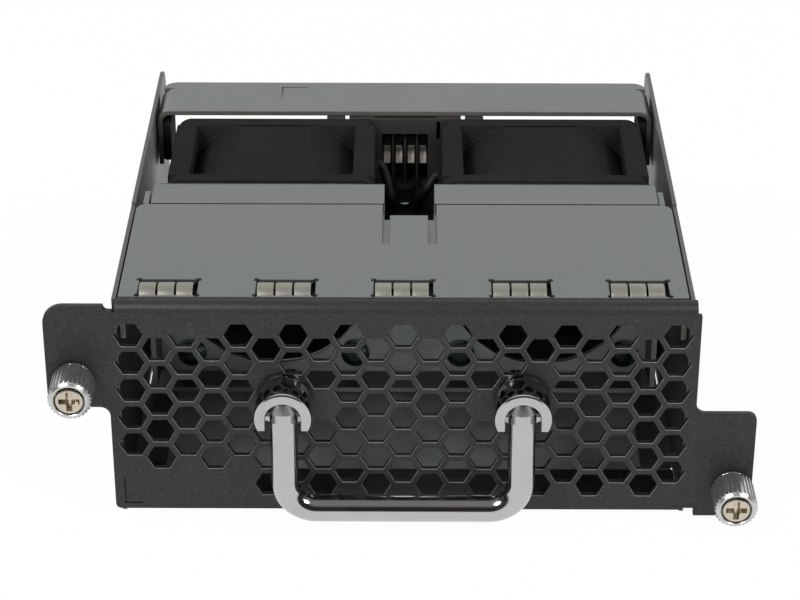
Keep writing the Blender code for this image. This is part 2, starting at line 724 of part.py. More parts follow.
def front_cover():
    """The top sheet behind the panel, with slots for the spring fingers and a notched rear."""
    notch_front = COVER_REAR - NOTCH_DEPTH
    tab_rear = COVER_REAR - TAB_SETBACK
    edge = rounded([
        (-COVER_HALF, COVER_FRONT, 0),
        (COVER_HALF, COVER_FRONT, 0),
        (COVER_HALF, COVER_REAR, COVER_CORNER),
        (NOTCH_RIGHT, COVER_REAR, 0),
        (NOTCH_RIGHT, notch_front, 0),
        (TAB_RIGHT, notch_front, 0),
        (TAB_RIGHT, tab_rear, 0),
        (TAB_LEFT, tab_rear, 0),
        (TAB_LEFT, notch_front, 0),
        (NOTCH_LEFT, notch_front, 0),
        (NOTCH_LEFT, COVER_REAR, 0),
        (-COVER_HALF, COVER_REAR, COVER_CORNER),
    ])
    half = SLOT_WIDTH / 2
    slots = [
        relieved_slot(x - half, x + half, SLOT_FRONT + SLOT_RELIEF, SLOT_REAR, SLOT_RELIEF)
        for x in spring_places()
    ]
    cover = piece("front_cover", extruded([edge, *slots], COVER_BOTTOM, BODY_TOP, "Z"), ZINC)
    skirt_y = (COVER_FRONT + COVER_SHEET, COVER_REAR - 1.5 * COVER_CORNER)
    skirt_z = (COVER_BOTTOM - COVER_SKIRT, BODY_TOP - COVER_SHEET / 2)
    for side in SIDES:
        skirt_x = sorted((SIGN[side] * (COVER_HALF - COVER_SHEET), SIGN[side] * COVER_HALF))
        join(cover, f"{side}_skirt", box(skirt_x, skirt_y, skirt_z))


def spring_strip(number, x):
    """A strip of arched spring fingers that rise through a slot of the cover."""
    width = SLOT_WIDTH - 2 * SPRING_SIDE
    front = SLOT_FRONT + SLOT_RELIEF + GAP
    rear = SLOT_REAR - GAP
    middle = (front + rear) / 2
    reach = (rear - front) / 2
    rise = BODY_TOP + FINGER_RISE - SPRING_BOTTOM
    steps = FINGER_STEPS
    outer = [
        (middle + reach * cos(pi * k / steps), SPRING_BOTTOM + rise * sin(pi * k / steps))
        for k in range(1, steps)
    ]
    inner = [
        (
            middle + (reach - SPRING_SHEET) * cos(pi * k / steps),
            SPRING_BOTTOM + (rise - SPRING_SHEET) * sin(pi * k / steps),
        )
        for k in range(steps - 1, 0, -1)
    ]
    toe = COVER_FRONT + GAP
    profile = [
        (middle + reach - SPRING_SHEET, SPRING_BOTTOM),
        (rear + SPRING_TAIL, SPRING_BOTTOM),
        (rear + SPRING_TAIL, SPRING_TOP),
        (middle + reach, SPRING_TOP),
        *outer,
        (front, SPRING_TOP),
        (toe, SPRING_TOP),
        (toe, SPRING_BOTTOM),
        (front + SPRING_SHEET, SPRING_BOTTOM),
        *inner,
    ]
    mesh = extruded([profile], -width / 2, width / 2, "X")
    strip = piece(f"spring_strip_{number}", mesh, STEEL, (x, 0, 0), round_shape=True)
    finger = (width - (FINGERS - 1) * FINGER_SLIT) / FINGERS
    for k in range(1, FINGERS):
        left = -width / 2 + k * finger + (k - 1) * FINGER_SLIT
        slit_y = (front - GAP, rear + GAP)
        slit_z = (SPRING_TOP + SPRING_SHEET, BODY_TOP + 2 * FINGER_RISE)
        cut(strip, f"slit_{k}", box((left, left + FINGER_SLIT), slit_y, slit_z), (x, 0, 0))


def fan_bracket():
    """One folded sheet: underlay, two top strips, the fan partition, its cheeks and its foot."""
    sheet = BRACKET_SHEET
    under_front = COVER_REAR - UNDERLAY_REACH
    under_top = COVER_BOTTOM - GAP
    under_bottom = under_top - sheet
    foot_front = PARTITION_REAR - BRACKET_FOOT
    profile = rounded([
        (under_front, under_bottom, 0),
        (STRIP_FRONT + sheet, under_bottom, FOLD_RADIUS),
        (STRIP_FRONT + sheet, BODY_TOP - sheet, 0),
        (PARTITION_FRONT, BODY_TOP - sheet, FOLD_RADIUS),
        (PARTITION_FRONT, sheet, FOLD_RADIUS),
        (foot_front, sheet, 0),
        (foot_front, 0, 0),
        (PARTITION_REAR, 0, FOLD_RADIUS + sheet),
        (PARTITION_REAR, BODY_TOP, FOLD_RADIUS + sheet),
        (STRIP_FRONT, BODY_TOP, 0),
        (STRIP_FRONT, under_top, 0),
        (under_front, under_top, 0),
    ])
    half = HALF_BODY - BRACKET_INSET
    fold = half - CHEEK_BEND - sheet
    bracket = piece("fan_bracket", extruded([profile], -half, half, "X"), ZINC)
    bend_top = BODY_TOP - CHEEK_RELIEF
    for side in SIDES:
        sign = SIGN[side]
        edge = sign * (HALF_BODY - STRIP_INSET[side])
        turn = edge - sign * STRIP_CORNER
        centre_y = PARTITION_REAR - STRIP_CORNER
        corner = [
            (
                turn + sign * STRIP_CORNER * sin(pi / 2 * k / ARC_STEPS),
                centre_y + STRIP_CORNER * cos(pi / 2 * k / ARC_STEPS),
            )
            for k in range(ARC_STEPS + 1)
        ]
        trim = [
            (sign * (WALL_INNER + sheet), under_front - sheet),
            (sign * (WALL_INNER + sheet), PARTITION_REAR + sheet),
            (turn, PARTITION_REAR + sheet),
            *corner,
            (edge, under_front - sheet),
        ]
        cut(bracket, f"{side}_trim", extruded([trim], under_bottom - sheet, BODY_TOP + sheet, "Z"))
        beyond_x = sorted((sign * fold, sign * (half + sheet)))
        beyond_y = (foot_front - sheet, PARTITION_REAR + sheet)
        cut(bracket, f"{side}_end", box(beyond_x, beyond_y, (-sheet, BODY_TOP - sheet)))
        inside = sign * (fold - sheet)
        cheek = rounded([
            (inside, PARTITION_REAR, 0),
            (sign * half, PARTITION_REAR, CHEEK_BEND + sheet),
            (sign * half, STRIP_FRONT, 0),
            (sign * (half - sheet), STRIP_FRONT, 0),
            (sign * (half - sheet), PARTITION_FRONT, CHEEK_BEND),
            (inside, PARTITION_FRONT, 0),
        ])
        join(bracket, f"{side}_cheek", extruded([cheek], CHEEK_BOTTOM, bend_top, "Z"))
        tab_x = sorted((sign * (half - sheet), sign * half))
        tab_y = (STRIP_FRONT, STRIP_FRONT + CHEEK_TAB)
        join(bracket, f"{side}_tab", box(tab_x, tab_y, (bend_top - sheet, BODY_TOP)))
    gate_y = (COVER_REAR - GATE_SETBACK, PARTITION_REAR + sheet)
    gate = box((GATE_LEFT, GATE_RIGHT), gate_y, (BODY_TOP - GATE_DEPTH, BODY_TOP + sheet))
    cut(bracket, "gate", gate)
    for side in SIDES:
        port = rod(FAN_BORE / 2, -2 * sheet, 2 * sheet, "Y", FINE_SIDES)
        cut(bracket, f"{side}_port", port, (FAN_X[side], PARTITION_REAR, FAN_Z))
        for name, x, z in fan_corners(side):
            hole = rod(SCREW_SHANK + GAP, -2 * sheet, 2 * sheet, "Y", SMALL_SIDES)
            cut(bracket, f"{side}_hole_{name}", hole, (x, PARTITION_REAR, z))


def rear_crossbar():
    """The bar that ties the wall tips together, with its ends bent down inside the walls."""
    low = COVER_BOTTOM - BAR_SKIRT
    inner = COVER_HALF - COVER_SHEET
    channel = rounded([
        (-COVER_HALF, low, 0),
        (-inner, low, 0),
        (-inner, COVER_BOTTOM, BAR_BEND),
        (inner, COVER_BOTTOM, BAR_BEND),
        (inner, low, 0),
        (COVER_HALF, low, 0),
        (COVER_HALF, BODY_TOP, BAR_BEND + COVER_SHEET),
        (-COVER_HALF, BODY_TOP, BAR_BEND + COVER_SHEET),
    ])
    skirt_rear = BAR_REAR - BAR_SKIRT_INSET
    bar = piece("rear_crossbar", extruded([channel], BAR_FRONT, skirt_rear, "Y"), ZINC)
    strip_end = COVER_HALF - BAR_END_INSET
    strip_front = skirt_rear - COVER_SHEET
    strip = rounded([
        (-inner + BAR_BEND, strip_front, 0),
        (inner - BAR_BEND, strip_front, 0),
        (inner - BAR_BEND, skirt_rear, 0),
        (strip_end, skirt_rear, 0),
        (strip_end, BAR_REAR, BAR_CORNER),
        (-strip_end, BAR_REAR, BAR_CORNER),
        (-strip_end, skirt_rear, 0),
        (-inner + BAR_BEND, skirt_rear, 0),
    ])
    join(bar, "rear_strip", extruded([strip], COVER_BOTTOM, BODY_TOP, "Z"))
    mark_y = BAR_REAR - BAR_MARK_SETBACK
    depth = (BODY_TOP - MARK_DEPTH, BODY_TOP + MARK_DEPTH)
    long_x = (BAR_MARK_X - MARK_WIDTH / 2, BAR_MARK_X + BAR_MARK_LENGTH)
    long_y = (mark_y - MARK_WIDTH / 2, mark_y + MARK_WIDTH / 2)
    cut(bar, "mark_long", box(long_x, long_y, depth))
    short_x = (BAR_MARK_X - MARK_WIDTH / 2, BAR_MARK_X + MARK_WIDTH / 2)
    cut(bar, "mark_short", box(short_x, (mark_y - BAR_MARK_LENGTH, mark_y), depth))


# Fans


def fan_corners(side):
    """The four screw places of a fan: name, x and z."""
    half = FAN_SIZE / 2 - FAN_HOLE_INSET
    return [
        (f"{row}_{column}", FAN_X[side] + dx, FAN_Z + dz)
        for row, dz in (("top", half), ("bottom", -half))
        for column, dx in (("left", -half), ("right", half))
    ]


def barrel_outline():
    """The fan's middle section: a round barrel that is flattened on its four sides."""
    outer = FAN_BORE / 2 + FAN_BARREL_WALL
    far = FAN_SIZE / 2 - FAN_COLUMN_INSET
    flat = asin(sqrt(outer**2 - far**2) / outer)
    bow = pi / 2 - 2 * flat
    points = []
    for quarter in range(4):
        for k in range(BARREL_STEPS + 1):
            angle = quarter * pi / 2 + flat + bow * k / BARREL_STEPS
            points.append((outer * cos(angle), outer * sin(angle)))
    return points


def fan_housing(side):
    x = FAN_X[side]
    place = (x, FAN_FRONT, FAN_Z)
    half = FAN_SIZE / 2
    square = [box_outline(-half, half, -half, half, FAN_CORNER)]
    front = extruded(square, 0, FAN_FLANGE, "Y")
    housing = piece(f"{side}_fan_housing", front, FAN_PLASTIC, place)
    middle = (FAN_FLANGE / 2, FAN_DEPTH - FAN_FLANGE / 2)
    join(housing, "barrel", extruded([barrel_outline()], *middle, "Y"), place)
    join(housing, "rear_flange", extruded(square, FAN_DEPTH - FAN_FLANGE, FAN_DEPTH, "Y"), place)
    near = half - FAN_COLUMN
    far = half - FAN_COLUMN_INSET
    for k in range(4):
        column = box((near, far), middle, (near, far))
        column.transform(Matrix.Rotation(k * pi / 2, 4, "Y"))
        join(housing, f"column_{k + 1}", column, place)
    past = FAN_FLANGE / 2
    cut(housing, "bore", rod(FAN_BORE / 2, -past, FAN_DEPTH + past, "Y", FINE_SIDES), place)
    for name, hole_x, hole_z in fan_corners(side):
        hole = rod(SCREW_SHANK + GAP, -past, FAN_DEPTH + past, "Y", SMALL_SIDES)
        cut(housing, f"hole_{name}", hole, (hole_x, FAN_FRONT, hole_z))
    base = (FAN_DEPTH - MOTOR_BASE, FAN_DEPTH - MOTOR_BASE_INSET)
    join(housing, "motor_base", rod(HUB_RADIUS, *base, "Y", ROUND_SIDES), place)
    for k in range(STRUTS):
        strut_x = (HUB_RADIUS - HUB_WALL, FAN_BORE / 2 + FAN_BARREL_WALL / 2)
        strut_z = (-STRUT_WIDTH / 2, STRUT_WIDTH / 2)
        strut_y = (base[0] + MOTOR_BASE_INSET, base[1] - MOTOR_BASE_INSET)
        strut = box(strut_x, strut_y, strut_z)
        strut.transform(Matrix.Rotation((k + 0.5) * 2 * pi / STRUTS, 4, "Y"))
        join(housing, f"strut_{k + 1}", strut, place)


def fan_gasket(side):
    half = FAN_SIZE / 2 - GASKET_INSET
    outlines = [box_outline(-half, half, -half, half, FAN_CORNER)]
    outlines.append(circle(0, 0, FAN_BORE / 2, FINE_SIDES))
    for _, x, z in fan_corners(side):
        outlines.append(circle(x - FAN_X[side], z - FAN_Z, SCREW_SHANK + GAP, SMALL_SIDES))
    mesh = extruded(outlines, 0, GASKET_THICKNESS, "Y")
    piece(f"{side}_fan_gasket", mesh, FOAM, (FAN_X[side], GASKET_FRONT, FAN_Z))


def blade_mesh():
    """A cambered blade section, drawn out from inside the hub past the tip circle."""
    chord = BLADE_SHARE * HUB_LENGTH
    line = []
    for k in range(BLADE_STEPS + 1):
        along = k / BLADE_STEPS - 0.5
        line.append((along * chord, BLADE_CAMBER * (1 - 4 * along * along)))
    half = BLADE_THICKNESS / 2
    section = [(u, v - half) for u, v in line] + [(u, v + half) for u, v in reversed(line)]
    mesh = extruded([section], HUB_RADIUS - 3 * HUB_WALL, FAN_BORE / 2, "Z")
    mesh.transform(Matrix.Rotation(BLADE_ANGLE, 4, "Z"))
    return mesh


def fan_rotor(side):
    """The hub cup with its blades, trimmed round at the tips. It turns about Y."""
    x = FAN_X[side]
    front = FAN_FRONT + ROTOR_SETBACK
    place = (x, front, FAN_Z)
    bore = SHAFT_RADIUS + GAP
    rotor = turned(f"{side}_fan_rotor", [
        (0, HUB_LENGTH),
        (HUB_RADIUS, HUB_LENGTH),
        (HUB_RADIUS, HUB_CROWN),
        (HUB_RADIUS - HUB_CROWN, 0),
        (0, 0),
    ], FAN_PLASTIC, place, FINE_SIDES)
    for k in range(BLADES):
        blade = blade_mesh()
        blade.transform(Matrix.Rotation(2 * pi * k / BLADES, 4, "Y"))
        join(rotor, f"blade_{k + 1}", blade, (x, front + HUB_LENGTH / 2, FAN_Z))
    tip = rod(FAN_BORE / 2 - TIP_CLEARANCE, -PAST, HUB_LENGTH + PAST, "Y", FINE_SIDES)
    combine(rotor, "INTERSECT", "tip_circle", tip, place)
    hollow = rod(HUB_RADIUS - HUB_WALL, HUB_CROWN, HUB_LENGTH + PAST, "Y", FINE_SIDES)
    cut(rotor, "hollow", hollow, place)
    boss = rod(bore + HUB_BOSS_WALL, HUB_CROWN / 2, HUB_LENGTH / 4, "Y", SMALL_SIDES)
    join(rotor, "boss", boss, place)
    cut(rotor, "shaft_hole", rod(bore, -PAST, HUB_LENGTH, "Y", SMALL_SIDES), place)
    shaft_end = FAN_DEPTH - MOTOR_BASE - ROTOR_SETBACK - GAP
    turned(f"{side}_fan_shaft", [
        (0, shaft_end),
        (SHAFT_RADIUS, shaft_end),
        (SHAFT_RADIUS, GAP),
        (0, GAP),
    ], STEEL, place, SMALL_SIDES)


def fan_motor(side):
    """The stator and its sleeve bearing, which stand on the housing's motor base."""
    x = FAN_X[side]
    place = (x, FAN_REAR - MOTOR_BASE - GAP, FAN_Z)
    bearing_bore = SHAFT_RADIUS + GAP
    bearing_outer = bearing_bore + BEARING_WALL
    stator_bore = bearing_outer + GAP
    stator_outer = HUB_RADIUS - HUB_WALL - 2 * GAP
    neck = stator_bore + STATOR_NECK_SHARE * (stator_outer - stator_bore)
    stack = STATOR_LENGTH * STACK_SHARE
    turned(f"{side}_fan_stator", [
        (stator_bore, 0),
        (stator_outer, 0),
        (stator_outer, -STATOR_RIM),
        (neck, -STATOR_RIM),
        (neck, -stack),
        (stator_outer, -stack),
        (stator_outer, -STATOR_LENGTH + stack),
        (neck, -STATOR_LENGTH + stack),
        (neck, -STATOR_LENGTH),
        (stator_bore, -STATOR_LENGTH),
    ], COPPER, place)
    turned(f"{side}_fan_bearing", [
        (bearing_bore, 0),
        (bearing_outer, 0),
        (bearing_outer, -BEARING_LENGTH),
        (bearing_bore, -BEARING_LENGTH),
    ], BRONZE, place, SMALL_SIDES)


def fan_screws(side):
    """Screws that pass through partition and gasket into the fan's corners."""
    head_back = PARTITION_FRONT - GAP
    for name, x, z in fan_corners(side):
        turned(f"{side}_fan_screw_{name}", [
            (0, SCREW_LENGTH),
            (SCREW_SHANK, SCREW_LENGTH),
            (SCREW_SHANK, 0),
            (SCREW_HEAD, 0),
            (SCREW_HEAD, -SCREW_HEAD_HEIGHT / 2),
            (SCREW_HEAD * SCREW_CROWN_SHARE, -SCREW_HEAD_HEIGHT),
            (0, -SCREW_HEAD_HEIGHT),
        ], STEEL, (x, head_back, z), SMALL_SIDES)


# Connector


def contact_places():
    return [PLUG_X + (k - (CONTACTS - 1) / 2) * CONTACT_PITCH for k in range(CONTACTS)]


def connector_housing():
    """The plug body behind the fans, open to the front over four wire channels."""
    x = (PLUG_X - PLUG_WIDTH / 2, PLUG_X + PLUG_WIDTH / 2)
    top = COVER_BOTTOM - GAP
    body = box(x, (PLUG_FRONT, PLUG_REAR), (PLUG_BOTTOM, top))
    housing = piece("connector_housing", body, BLACK_PLASTIC)
    channel = CONTACT_WIDTH + 2 * GAP
    opening = (CONTACTS - 1) * CONTACT_PITCH / 2 + channel / 2
    opening_x = (PLUG_X - opening, PLUG_X + opening)
    sill = PLUG_BOTTOM + CHANNEL_SILL
    recess_y = (PLUG_FRONT - PAST, PLUG_FRONT + PLUG_RECESS)
    cut(housing, "recess", box(opening_x, recess_y, (sill, CHANNEL_TOP)))
    channel_end = PLUG_FRONT + CHANNEL_DEPTH
    for k, place in enumerate(contact_places()):
        channel_x = (place - channel / 2, place + channel / 2)
        channel_y = (PLUG_FRONT, channel_end)
        channel_z = (sill + CHANNEL_STEP, CHANNEL_TOP - CHANNEL_STEP)
        cut(housing, f"channel_{k + 1}", box(channel_x, channel_y, channel_z))
        tail_z = (tail_bottom() - GAP, tail_bottom() + TAIL_HEIGHT + GAP)
        tail_y = (channel_end - PAST, PLUG_REAR - SOCKET_DEPTH + PAST)
        cut(housing, f"tail_slot_{k + 1}", box(channel_x, tail_y, tail_z))
    socket_x = (x[0] + SOCKET_WALL, x[1] - SOCKET_WALL)
    socket_z = (PLUG_BOTTOM + SOCKET_WALL, CHANNEL_TOP)
    socket_y = (PLUG_REAR - SOCKET_DEPTH, PLUG_REAR + PAST)
    cut(housing, "socket", box(socket_x, socket_y, socket_z))


def tail_bottom():
    return CHANNEL_TOP - GAP - 2 * TAIL_HEIGHT


def connector_contacts():
    """Bent contact tongues, each in a channel of the plug body."""
    back = PLUG_FRONT + CHANNEL_DEPTH - GAP
    low = tail_bottom()
    high = low + TAIL_HEIGHT
    tip_y = PLUG_FRONT + PLUG_RECESS
    tail_end = PLUG_REAR - SOCKET_DEPTH - GAP
    curl = CONTACT_CURL
    profile = [
        (tail_end, low),
        (tail_end, high),
        (tip_y + 2 * curl, high),
        (tip_y + curl / 2, high - curl),
        (tip_y, CONTACT_TIP_Z + curl),
        (tip_y + curl / 4, CONTACT_TIP_Z),
        (tip_y + curl / 4 + CONTACT_SHEET, CONTACT_TIP_Z),
        (tip_y + CONTACT_SHEET, CONTACT_TIP_Z + curl),
        (tip_y + curl / 2 + CONTACT_SHEET, high - 1.5 * curl),
        (tip_y + 2 * curl + CONTACT_SHEET, low),
        (back, low),
    ]
    for k, x in enumerate(contact_places()):
        mesh = extruded([profile], -CONTACT_WIDTH / 2, CONTACT_WIDTH / 2, "X")
        piece(f"connector_contact_{k + 1}", mesh, STEEL, (x, 0, 0), round_shape=True)


def connector_bracket():
    """A folded shelf on the floor that carries the plug body."""
    sheet = BRACKET_SHEET
    shelf_rear = PLUG_REAR - SHELF_INSET
    foot_front = SHELF_FRONT - SHELF_FOOT
    profile = rounded([
        (foot_front, 0, 0),
        (SHELF_FRONT + sheet, 0, FOLD_RADIUS + sheet),
        (SHELF_FRONT + sheet, SHELF_TOP - sheet, FOLD_RADIUS),
        (shelf_rear, SHELF_TOP - sheet, 0),
        (shelf_rear, SHELF_TOP, 0),
        (SHELF_FRONT, SHELF_TOP, FOLD_RADIUS + sheet),
        (SHELF_FRONT, sheet, FOLD_RADIUS),
        (foot_front, sheet, 0),
    ])
    left = PLUG_X - SHELF_WIDTH / 2
    mesh = extruded([profile], left, left + SHELF_WIDTH, "X")
    bracket = piece("connector_bracket", mesh, ZINC)
    hole = rod(SHELF_SCREW_SHANK + GAP, -2 * sheet, 2 * sheet, "Z", SMALL_SIDES)
    cut(bracket, "screw_hole", hole, (PLUG_X, SHELF_SCREW_Y, SHELF_TOP))


def shelf_screw():
    """The upright screw that holds the shelf, between the two leads."""
    screw = turned("shelf_screw", [
        (0, SHELF_SCREW_HEAD),
        (SHELF_SCREW_RADIUS, SHELF_SCREW_HEAD / 2),
        (SHELF_SCREW_RADIUS, 0),
        (SHELF_SCREW_SHANK, 0),
        (SHELF_SCREW_SHANK, -SHELF_SCREW_LENGTH),
        (0, -SHELF_SCREW_LENGTH),
    ], STEEL, (PLUG_X, SHELF_SCREW_Y, SHELF_TOP + GAP), SMALL_SIDES)
    screw.rotation_euler = (0, 0, 0)
    reach = BOLT_CROSS_SHARE * SHELF_SCREW_RADIUS
    half = CROSS_WIDTH / 2
    for turn, (half_x, half_y) in enumerate(((reach, half), (half, reach))):
        slot = box((-half_x, half_x), (-half_y, half_y), (-CROSS_DEPTH / 2, CROSS_DEPTH / 2))
        place = (PLUG_X, SHELF_SCREW_Y, SHELF_TOP + GAP + SHELF_SCREW_HEAD)
        cut(screw, f"recess_{turn}", slot, place)


def fan_lead(side):
    """A sleeved lead from the fan's inner side, down onto the shelf and to the plug body."""
    sign = SIGN[side]
    exit_x = FAN_X[side] - sign * (FAN_SIZE / 2 + GAP)
    exit_y = PLUG_FRONT - LEAD_REACH[side]
    exit_z = BODY_TOP - LEAD_DROP
    rest_x = PLUG_X + sign * LEAD_SPREAD
    rest_z = SHELF_TOP + GAP + LEAD_RADIUS
    middle_x = (exit_x + rest_x) / 2 - sign * LEAD_LEAN
    route = [
        Vector((exit_x, exit_y, exit_z)),
        Vector((exit_x - sign * LEAD_STUB, exit_y - LEAD_SLOPE, exit_z - LEAD_SLOPE)),
        Vector((middle_x, exit_y - LEAD_RADIUS, exit_z - LEAD_SAG)),
        Vector((rest_x, SHELF_SCREW_Y - LEAD_APPROACH, rest_z + LEAD_LIFT)),
        Vector((rest_x, SHELF_SCREW_Y - LEAD_REST, rest_z)),
        Vector((rest_x, SHELF_SCREW_Y + LEAD_REST, rest_z)),
        Vector((rest_x, PLUG_FRONT - GAP, rest_z)),
    ]
    points = smooth_route(route, 1.5 * LEAD_RADIUS)
    piece(f"{side}_fan_lead", tube(points, LEAD_RADIUS, 2), SLEEVE, round_shape=True)


def smooth_route(route, spacing):
    """Points along a Catmull-Rom curve through the route's own points."""
    ends = [2 * route[0] - route[1], *route, 2 * route[-1] - route[-2]]
    points = []
    for a, b, c, d in zip(ends, ends[1:], ends[2:], ends[3:]):
        steps = max(1, ceil((c - b).length / spacing))
        for k in range(steps):
            t = k / steps
            points.append(
                0.5 * (2 * b + (c - a) * t + (2 * a - 5 * b + 4 * c - d) * t**2
                       + (3 * b - a - 3 * c + d) * t**3)
            )
    points.append(route[-1])
    return points


def tube(points, radius, resolution):
    """A round tube along points, with filled ends, as a welded mesh."""
    curve = bpy.data.curves.new("tube", "CURVE")
    curve.dimensions = "3D"
    curve.bevel_depth = radius
    curve.bevel_resolution = resolution
    curve.use_fill_caps = True
    spline = curve.splines.new("POLY")
    spline.points.add(len(points) - 1)
    for point, place in zip(spline.points, points):
        point.co = (*place, 1.0)
    return mesh_of_curve(curve)


# Handle


def handle_post(side):
    """A turned post with a slot that the handle's end swings in, and a stud behind the panel."""
    x = POST_X[side]
    stud_end = PANEL_SHEET + GAP + NUT_HEIGHT + STUD_OVERHANG
    post = turned(f"{side}_handle_post", [
        (0, stud_end),
        (STUD_RADIUS, stud_end),
        (STUD_RADIUS, -GAP),
        (POST_RADIUS, -GAP),
        (POST_RADIUS, -POST_LENGTH + POST_EDGE),
        (POST_RADIUS - POST_EDGE, -POST_LENGTH),
        (0, -POST_LENGTH),
    ], CHROME, (x, 0, POST_Z), FINE_SIDES)
    half = BAIL_RADIUS + SLOT_SIDE
    steps = FINE_SIDES // 2
    arch = [
        (half * cos(pi * k / steps), PIVOT_Z + half * sin(pi * k / steps))
        for k in range(steps + 1)
    ]
    below = POST_Z - 2 * POST_RADIUS
    slot = [*arch, (-half, below), (half, below)]
    cut(post, "slot", extruded([slot], -POST_LENGTH - PAST, -POST_SILL, "Y"), (x, 0, 0))
    pin_hole = rod(PIVOT_RADIUS + GAP, -2 * POST_RADIUS, 2 * POST_RADIUS, "X", SMALL_SIDES)
    cut(post, "pin_hole", pin_hole, (x, BAIL_Y, PIVOT_Z))
    pin_half = sqrt(POST_RADIUS**2 - PIVOT_DROP**2) - PIVOT_RECESS
    pin = rod(PIVOT_RADIUS, -pin_half, pin_half, "X", SMALL_SIDES)
    piece(f"{side}_pivot_pin", pin, NICKEL, (x, BAIL_Y, PIVOT_Z), round_shape=True)
    nut_y = PANEL_SHEET + GAP
    nut = extruded(
        [circle(0, 0, NUT_RADIUS, 6), circle(0, 0, STUD_RADIUS + GAP, SMALL_SIDES)],
        0, NUT_HEIGHT, "Y",
    )
    piece(f"{side}_post_nut", nut, STEEL, (x, nut_y, POST_Z))


def bail_path():
    """The handle's centre line in its own XZ plane, from one end to the other."""
    half = POST_SPACING / 2
    top = BAIL_END
    bottom = BAIL_BAR_Z - PIVOT_Z
    steps = BAIL_BEND_STEPS
    left_bend = [
        (
            -half + BAIL_BEND - BAIL_BEND * cos(pi / 2 * k / steps),
            bottom + BAIL_BEND - BAIL_BEND * sin(pi / 2 * k / steps),
        )
        for k in range(steps + 1)
    ]
    right_bend = [(-x, z) for x, z in reversed(left_bend)]
    left = [(-half, top), (-half, top - 2 * BAIL_CHAMFER)]
    right = [(-x, z) for x, z in reversed(left)]
    return [Vector((x, 0, z)) for x, z in left + left_bend + right_bend + right]


def handle_bail():
    """The bent bar. Its origin lies on the axis that both pivot pins share."""
    place = (0, BAIL_Y, PIVOT_Z)
    mesh = tube(bail_path(), BAIL_RADIUS, 4)
    bail = piece("handle_bail", mesh, CHROME, place, round_shape=True)
    trim = BAIL_CHAMFER
    for side in SIDES:
        x = POST_X[side]
        reach = BAIL_RADIUS + PAST
        collar = turned_ring(reach, trim, BAIL_RADIUS - trim, BAIL_RADIUS)
        cut(bail, f"{side}_end", collar, (x, BAIL_Y, PIVOT_Z + BAIL_END - trim))
        hole = rod(PIVOT_RADIUS + GAP, -2 * BAIL_RADIUS, 2 * BAIL_RADIUS, "X", SMALL_SIDES)
        cut(bail, f"{side}_pin_hole", hole, (x, BAIL_Y, PIVOT_Z))


def turned_ring(outer, height, top_radius, bottom_radius):
    """A ring about Z with a sloped inside, which takes the edge off a round bar's end."""
    past = height / 2
    slope = (bottom_radius - top_radius) / height
    rings = (
        (outer, -past),
        (outer, height + past),
        (top_radius - slope * past, height + past),
        (bottom_radius + slope * past, -past),
    )
    shape = bmesh.new()
    loops = []
    for radius, z in rings:
        loops.append([
            shape.verts.new((radius * cos(2 * pi * k / ROUND_SIDES), radius * sin(2 * pi * k / ROUND_SIDES), z))
            for k in range(ROUND_SIDES)
        ])
    for near, far in zip(loops, loops[1:] + loops[:1]):
        for k in range(ROUND_SIDES):
            shape.faces.new((near[k], near[(k + 1) % ROUND_SIDES], far[(k + 1) % ROUND_SIDES], far[k]))
    bmesh.ops.recalc_face_normals(shape, faces=shape.faces)
    mesh = bpy.data.meshes.new("ring")
    shape.to_mesh(mesh)
    shape.free()
    return mesh


# Thumbscrews


def knurled_outline():
    """A round outline with a row of small ridges."""
    points = []
    for k in range(2 * KNURLS):
        radius = KNOB_RADIUS if k % 2 == 0 else KNOB_RADIUS - KNURL_DEPTH
        angle = pi * k / KNURLS
        points.append((radius * cos(angle), radius * sin(angle)))
    return points


